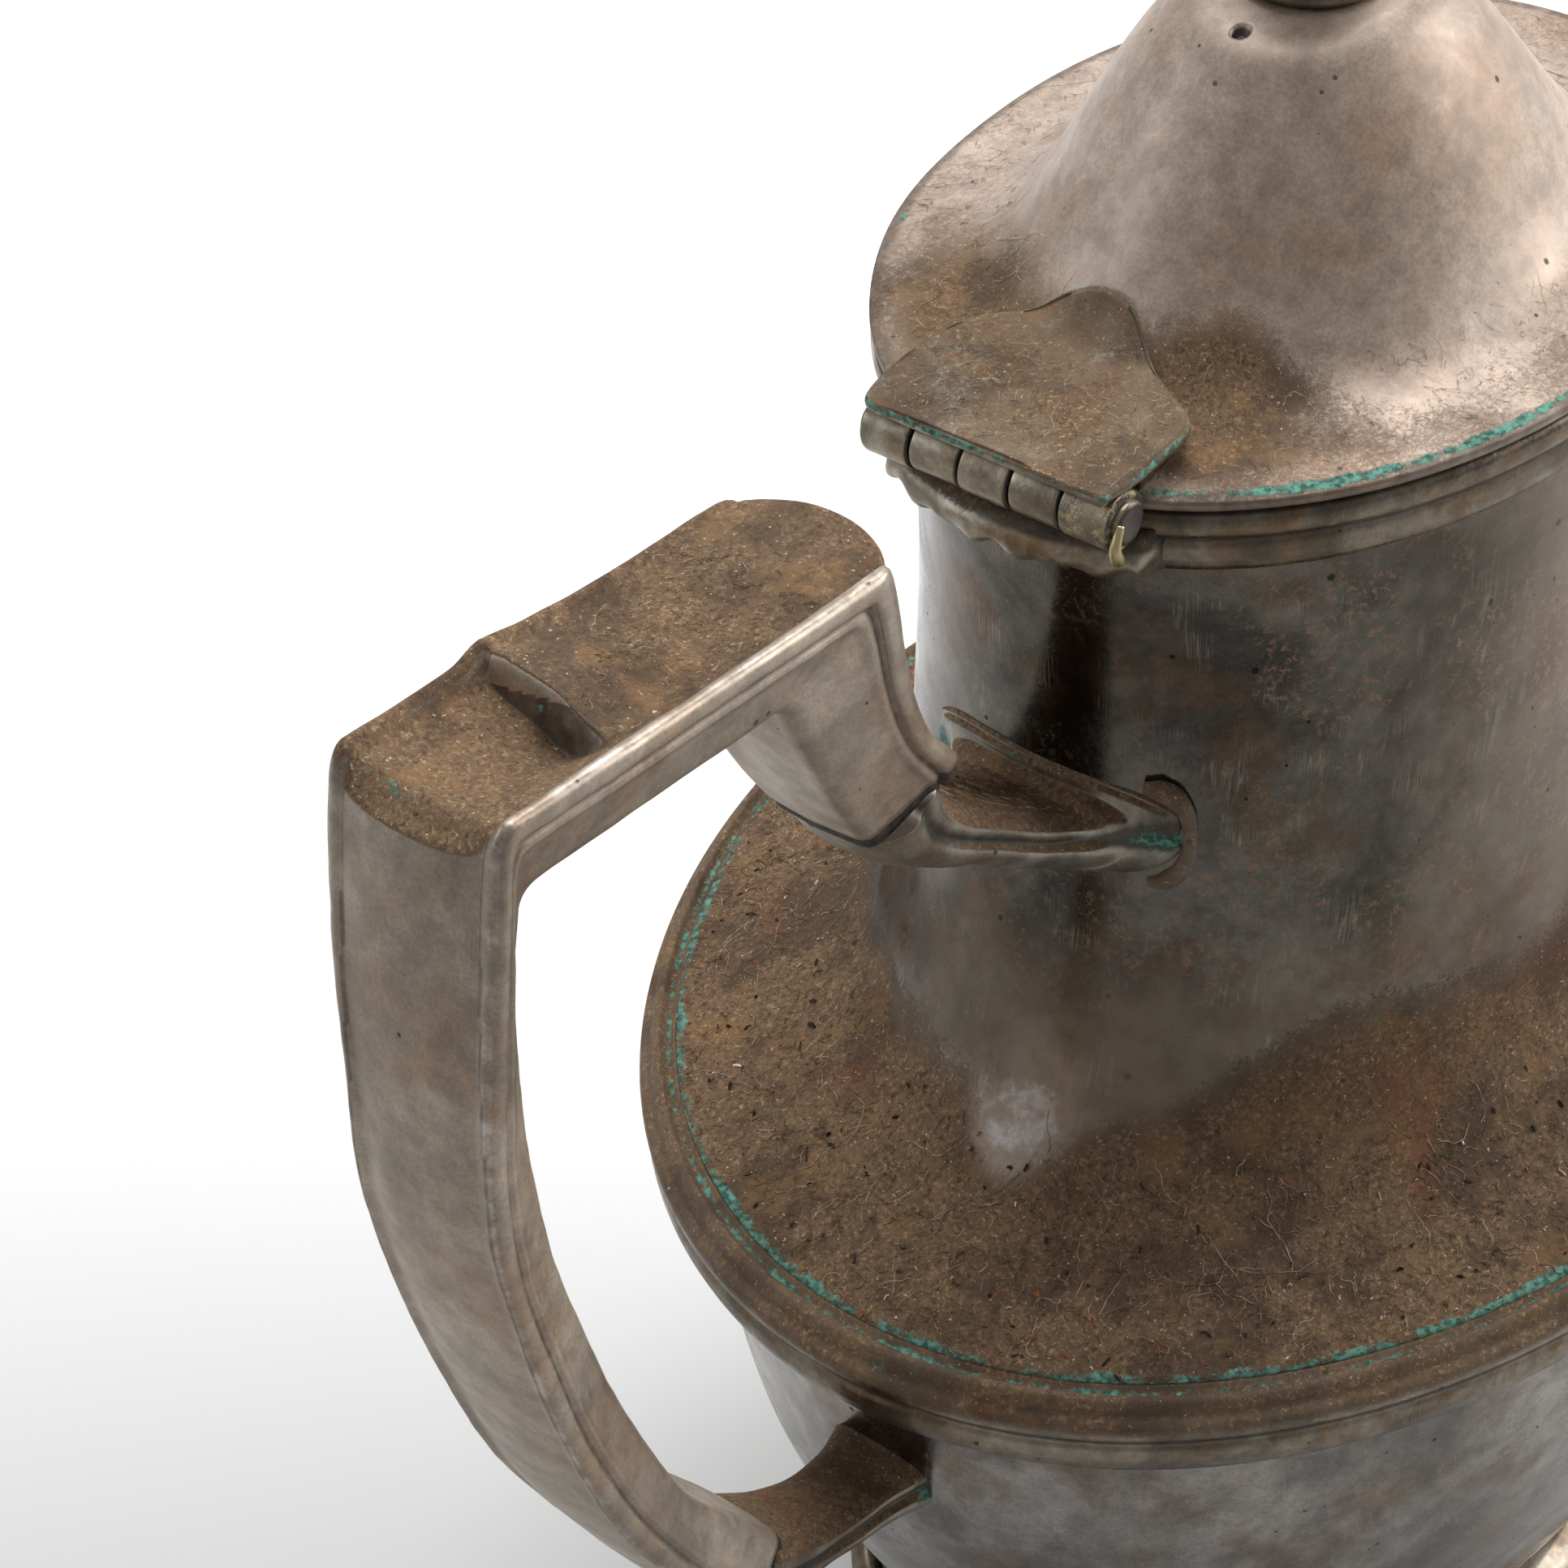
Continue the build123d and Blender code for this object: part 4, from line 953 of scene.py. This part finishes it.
# %% Lint
def surface_height(x, y, where):
    """Height in metres of the dusty surface under a plan point."""
    if where == "handle":
        return (SHOULDER_Z / MM + 79.2 + (x - 60.9) * 0.1105) * MM
    if where == "branch":
        return (SHOULDER_Z / MM + np.interp(x, [37.6, 40.8, 45.2, 50.2], [41.7, 43.4, 46.8, 50.8])) * MM
    if where == "plate":
        return np.full_like(x, SHOULDER_Z + (PLATE_TOP_MM + 0.15) * MM)
    side_line = lid_side if where == "lid" else neck_side
    order = np.argsort(side_line[:, 0])
    return np.interp(np.hypot(x, y / OVAL) * MM, side_line[order, 0], side_line[order, 1])


LINT_FIELDS = {"handle": ((62, 85), (-5.6, 5.6), (61, 86, 6)),
               "plate": ((29.5, 40.5), (-10.5, 9.8), (29, 41, 10.2)),
               "branch": ((38.5, 49.5), (-3.6, 3.6), (38, 50.2, 4.4))}
LINT_RINGS = {"lid": (26.5, 37.5, 37.9), "shoulder": (43, 60.8, 61.2)}
LINT_HOLDERS = {"shoulder": ("pot", "tarnished_body"), "lid": ("lid", "lid_metal"), "plate": ("lid", "lid_metal"),
                "branch": ("pot", "socket_metal"), "handle": ("pot", "handle_metal")}


def fibres(name, where, count, length, radius, finish, seed, curl=0.9):
    """Hairs on one surface: each heads off at a random angle, and its heading drifts by random steps."""
    rng = np.random.default_rng(seed)
    if where in LINT_FIELDS:
        x0, y0 = (rng.uniform(*ends, count) for ends in LINT_FIELDS[where][:2])
    else:
        low, high, limit = LINT_RINGS[where]
        t = rng.uniform(0, 2 * math.pi, count)
        a = np.sqrt(rng.uniform(low**2, high**2, count))
        x0, y0 = a * np.cos(t), a * OVAL * np.sin(t)
    joints = 9
    size = length * rng.lognormal(0, 0.5, count)[:, None]
    heading = rng.uniform(0, 2 * math.pi, count)[:, None] + np.cumsum(rng.normal(0, curl, (count, joints)), axis=1)
    x = x0[:, None] + np.cumsum(np.cos(heading), axis=1) * size / joints
    y = y0[:, None] + np.cumsum(np.sin(heading), axis=1) * size / joints
    if where in LINT_FIELDS:
        low, high, half_wide = LINT_FIELDS[where][2]
        x, y = np.clip(x, low, high), np.clip(y, -half_wide, half_wide)
    else:
        reach = np.hypot(x, y / OVAL)
        inwards = np.minimum(reach, limit) / reach
        x, y = x * inwards, y * inwards
    lift = 0.05 + 0.22 * rng.uniform(0, 1, (count, 1)) * np.sin(np.linspace(0, math.pi, joints))[None] ** 2
    line = np.stack([x * MM, y * MM, surface_height(x, y, where) + lift * MM], -1)
    thick = radius * MM * rng.uniform(0.6, 1.4, (count, 1, 1, 1))
    along = np.gradient(line, axis=1)
    across = np.cross(along, [0, 0, 1.0])
    across /= np.linalg.norm(across, axis=2)[..., None] + 1e-12
    t = np.array([0, 2.1, 4.2])
    t = t[None, None, :, None]
    way = across[:, :, None] * np.cos(t) + np.array([0, 0, 1.0]) * np.sin(t)
    verts = (line[:, :, None] + way * thick).reshape(-1, 3)
    base = np.arange(count * joints * 3).reshape(count, joints, 3)
    here, after = base[:, :-1], base[:, 1:]
    quads = np.stack([here, np.roll(here, -1, 2), np.roll(after, -1, 2), after], -1).reshape(-1, 4)[:, ::-1]
    caps = np.vstack([base[:, 0], base[:, -1, ::-1]])
    mesh = bpy.data.meshes.new(name)
    mesh.from_pydata(verts.tolist(), [], quads.tolist() + caps.tolist())
    piece = place(name, mesh, finish)
    body, slot_name = LINT_HOLDERS[where]
    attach(piece, body)
    print(name, len(quads) * 2 + len(caps), "triangles")
    return piece


# %% [markdown]
# The stuff differs only in colour, and the strands in number, length and curl. Two tables list them, with
# lengths and radii in millimetres, and a seed for each, so that they fall the same way every time.

# %% Every kind of lint
def fuzz(name, colour, other):
    """A dull fibre colour that wanders between two shades."""
    material, tree, where = begin(name)
    mixed = blend(tree, span(tree, noise(tree, where, 700, 2), 0.4, 0.6), colour, other)
    surface(tree, Base_Color=mixed, Roughness=0.9)
    return material


stuff = {name: fuzz(name, shade(*one), shade(*other)) for name, one, other in [
    ("pale_fibre", (196, 176, 148), (120, 98, 76)), ("brown_fibre", (148, 120, 86), (74, 54, 38)),
    ("rust_grit", (160, 88, 44), (88, 44, 26)), ("dark_grit", (40, 32, 26), (22, 18, 15)),
    ("white_grit", (225, 214, 196), (178, 158, 130))]}
for name, where, count, length, radius, kind, seed, curl in [
        ("lint_shoulder", "shoulder", 3400, 1.5, 0.024, "brown_fibre", 61, 0.9),
        ("hairs_shoulder", "shoulder", 620, 3.2, 0.02, "pale_fibre", 62, 0.45),
        ("lint_lid", "lid", 700, 1.3, 0.013, "brown_fibre", 63, 0.9),
        ("hairs_lid", "lid", 420, 2.2, 0.014, "pale_fibre", 64, 0.45),
        ("long_hairs", "shoulder", 16, 11, 0.024, "pale_fibre", 67, 0.22),
        ("long_lid_hairs", "lid", 9, 8, 0.02, "pale_fibre", 68, 0.25),
        ("grit_white", "shoulder", 150, 0.3, 0.085, "white_grit", 69, 0.2),
        ("grit_rust", "shoulder", 170, 0.4, 0.1, "rust_grit", 70, 0.2),
        ("grit_dark", "shoulder", 160, 0.5, 0.12, "dark_grit", 71, 0.2),
        ("lint_plate", "plate", 300, 1.1, 0.02, "brown_fibre", 72, 0.9),
        ("hairs_plate", "plate", 90, 1.8, 0.015, "pale_fibre", 73, 0.45),
        ("lint_branch", "branch", 480, 1.6, 0.022, "brown_fibre", 74, 0.9),
        ("hairs_branch", "branch", 50, 3.0, 0.016, "pale_fibre", 75, 0.45),
        ("lint_handle", "handle", 420, 1.2, 0.02, "brown_fibre", 65, 0.9),
        ("hairs_handle", "handle", 60, 1.6, 0.014, "pale_fibre", 66, 0.45)]:
    fibres(name, where, count, length, radius, stuff[kind], seed, curl)

# %% [markdown]
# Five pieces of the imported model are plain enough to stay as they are: the foot's plate, the ring inside the lid,
# and the stud, washer and nut that hold the finial. They only need a finish.

# %% CAD pieces that stay
for node, finish in [("base_plate", BOWL_METAL), ("lid_bezel", LID_METAL), ("finial_stud", MOULDING_METAL),
                     ("finial_washer", MOULDING_METAL), ("finial_nut", MOULDING_METAL)]:
    data = frame["nodes"][node].data
    data.materials.clear()
    data.materials.append(finish)
    print(node, "keeps its packed shape")

# %% [markdown]
# # Table, light and camera
# The pot stands on white paper that curves up behind it. The paper is a strip carried along a side-view line,
# and it is painted grey in front and white behind: painted shade on the near paper.

# %% Paper
CAMERA_AZ, CAMERA_EL, CAMERA_ROLL = (math.radians(v) for v in (41.6, 40.1, -4.1))
FRONT, BEND_AT, BEND, TOP, HALF_WIDE = -1.6, 0.9, 0.5, 1.6, 2.0
away = np.array([-math.cos(CAMERA_AZ), -math.sin(CAMERA_AZ), 0])
across = np.array([-math.sin(CAMERA_AZ), math.cos(CAMERA_AZ), 0])
up_way = np.array([0, 0, 1.0])
turn = np.linspace(0, math.pi / 2, 12)
sweep = np.vstack([(FRONT, 0), np.stack([BEND * np.sin(turn) + BEND_AT, BEND * (1 - np.cos(turn))], 1),
                   (BEND_AT + BEND, TOP)])
line = sweep[:, :1] * away + sweep[:, 1:] * up_way
paper_verts = np.stack([line - HALF_WIDE * across, line + HALF_WIDE * across])
paper_faces = [(i, i + 1, i + 1 + len(sweep), i + len(sweep)) for i in range(len(sweep) - 1)]
paper_mesh = bpy.data.meshes.new("paper")
paper_mesh.from_pydata(paper_verts.reshape(-1, 3).tolist(), [], paper_faces)
paper_mesh.shade_smooth()
white, tree, where = begin("paper_with_painted_shade")
distance = put(tree, "ShaderNodeVectorMath", {"operation": "DOT_PRODUCT"}, i0=where, i1=away).outputs["Value"]
# Painted shade: the white paper is painted grey towards the camera.
tone = blend(tree, span(tree, distance, -0.1, 0.25), (0.52, 0.515, 0.5), (0.93, 0.93, 0.925))
surface(tree, Base_Color=tone, Roughness=0.9)
place("paper", paper_mesh, white)

# %% [markdown]
# One large soft light hangs over the pot, a second stands to the right and a weak bluish one to the left. The room
# is dim, so that walls which face the camera mirror the paper and the dark room.

# %% Lights
middle = np.array([0.03, 0.0, 0.1])
for name, back, side, high, size, power, colour in [
        ("overhead", 0.45, 0.1, 0.95, 0.8, 13, (1, 1, 1)), ("right_side", 0.25, 0.85, 0.34, 0.55, 7, (1, 1, 1)),
        ("left_side", 0.1, -0.95, 0.4, 0.5, 2.5, (0.86, 0.92, 1))]:
    data = bpy.data.lights.new(name, "AREA")
    data.size, data.energy, data.color = size, power, colour
    lamp = place(name, data)
    lamp.location = Vector(middle + away * back + across * side + up_way * high)
    lamp.rotation_euler = (Vector(middle) - lamp.location).to_track_quat("-Z", "Y").to_euler()
world = bpy.data.worlds.new("room")
world.use_nodes = True
background = world.node_tree.nodes["Background"]
background.inputs[0].default_value, background.inputs[1].default_value = (0.93, 0.95, 1, 1), 0.3
bpy.context.scene.world = world
print("lights:", len(bpy.data.lights))

# %% [markdown]
# The camera looks down at the pot from the handle's side, leaning over a little. Its three axes come from two
# angles and a roll, and are the columns of its turning matrix.

# %% Camera
LENS, SENSOR, CAMERA_PLACE = 92.09, 36, (0.22396, 0.14145, 0.31971)
camera = place("camera", bpy.data.cameras.new("camera"))
camera.data.lens, camera.data.sensor_width, camera.data.clip_start = LENS, SENSOR, 0.01
level = math.cos(CAMERA_EL)
behind = Vector((math.cos(CAMERA_AZ) * level, math.sin(CAMERA_AZ) * level, math.sin(CAMERA_EL)))
right = (-behind).cross(Vector((0, 0, 1))).normalized()
up = right.cross(-behind)
rolled_right = right * math.cos(CAMERA_ROLL) + up * math.sin(CAMERA_ROLL)
rolled_up = up * math.cos(CAMERA_ROLL) - right * math.sin(CAMERA_ROLL)
axes = Matrix((rolled_right, rolled_up, behind)).transposed().to_4x4()
camera.matrix_world = Matrix.Translation(CAMERA_PLACE) @ axes
bpy.context.scene.camera = camera
bpy.context.scene.view_settings.view_transform = "Standard"
print("camera at", CAMERA_PLACE, "lens", LENS, "mm")
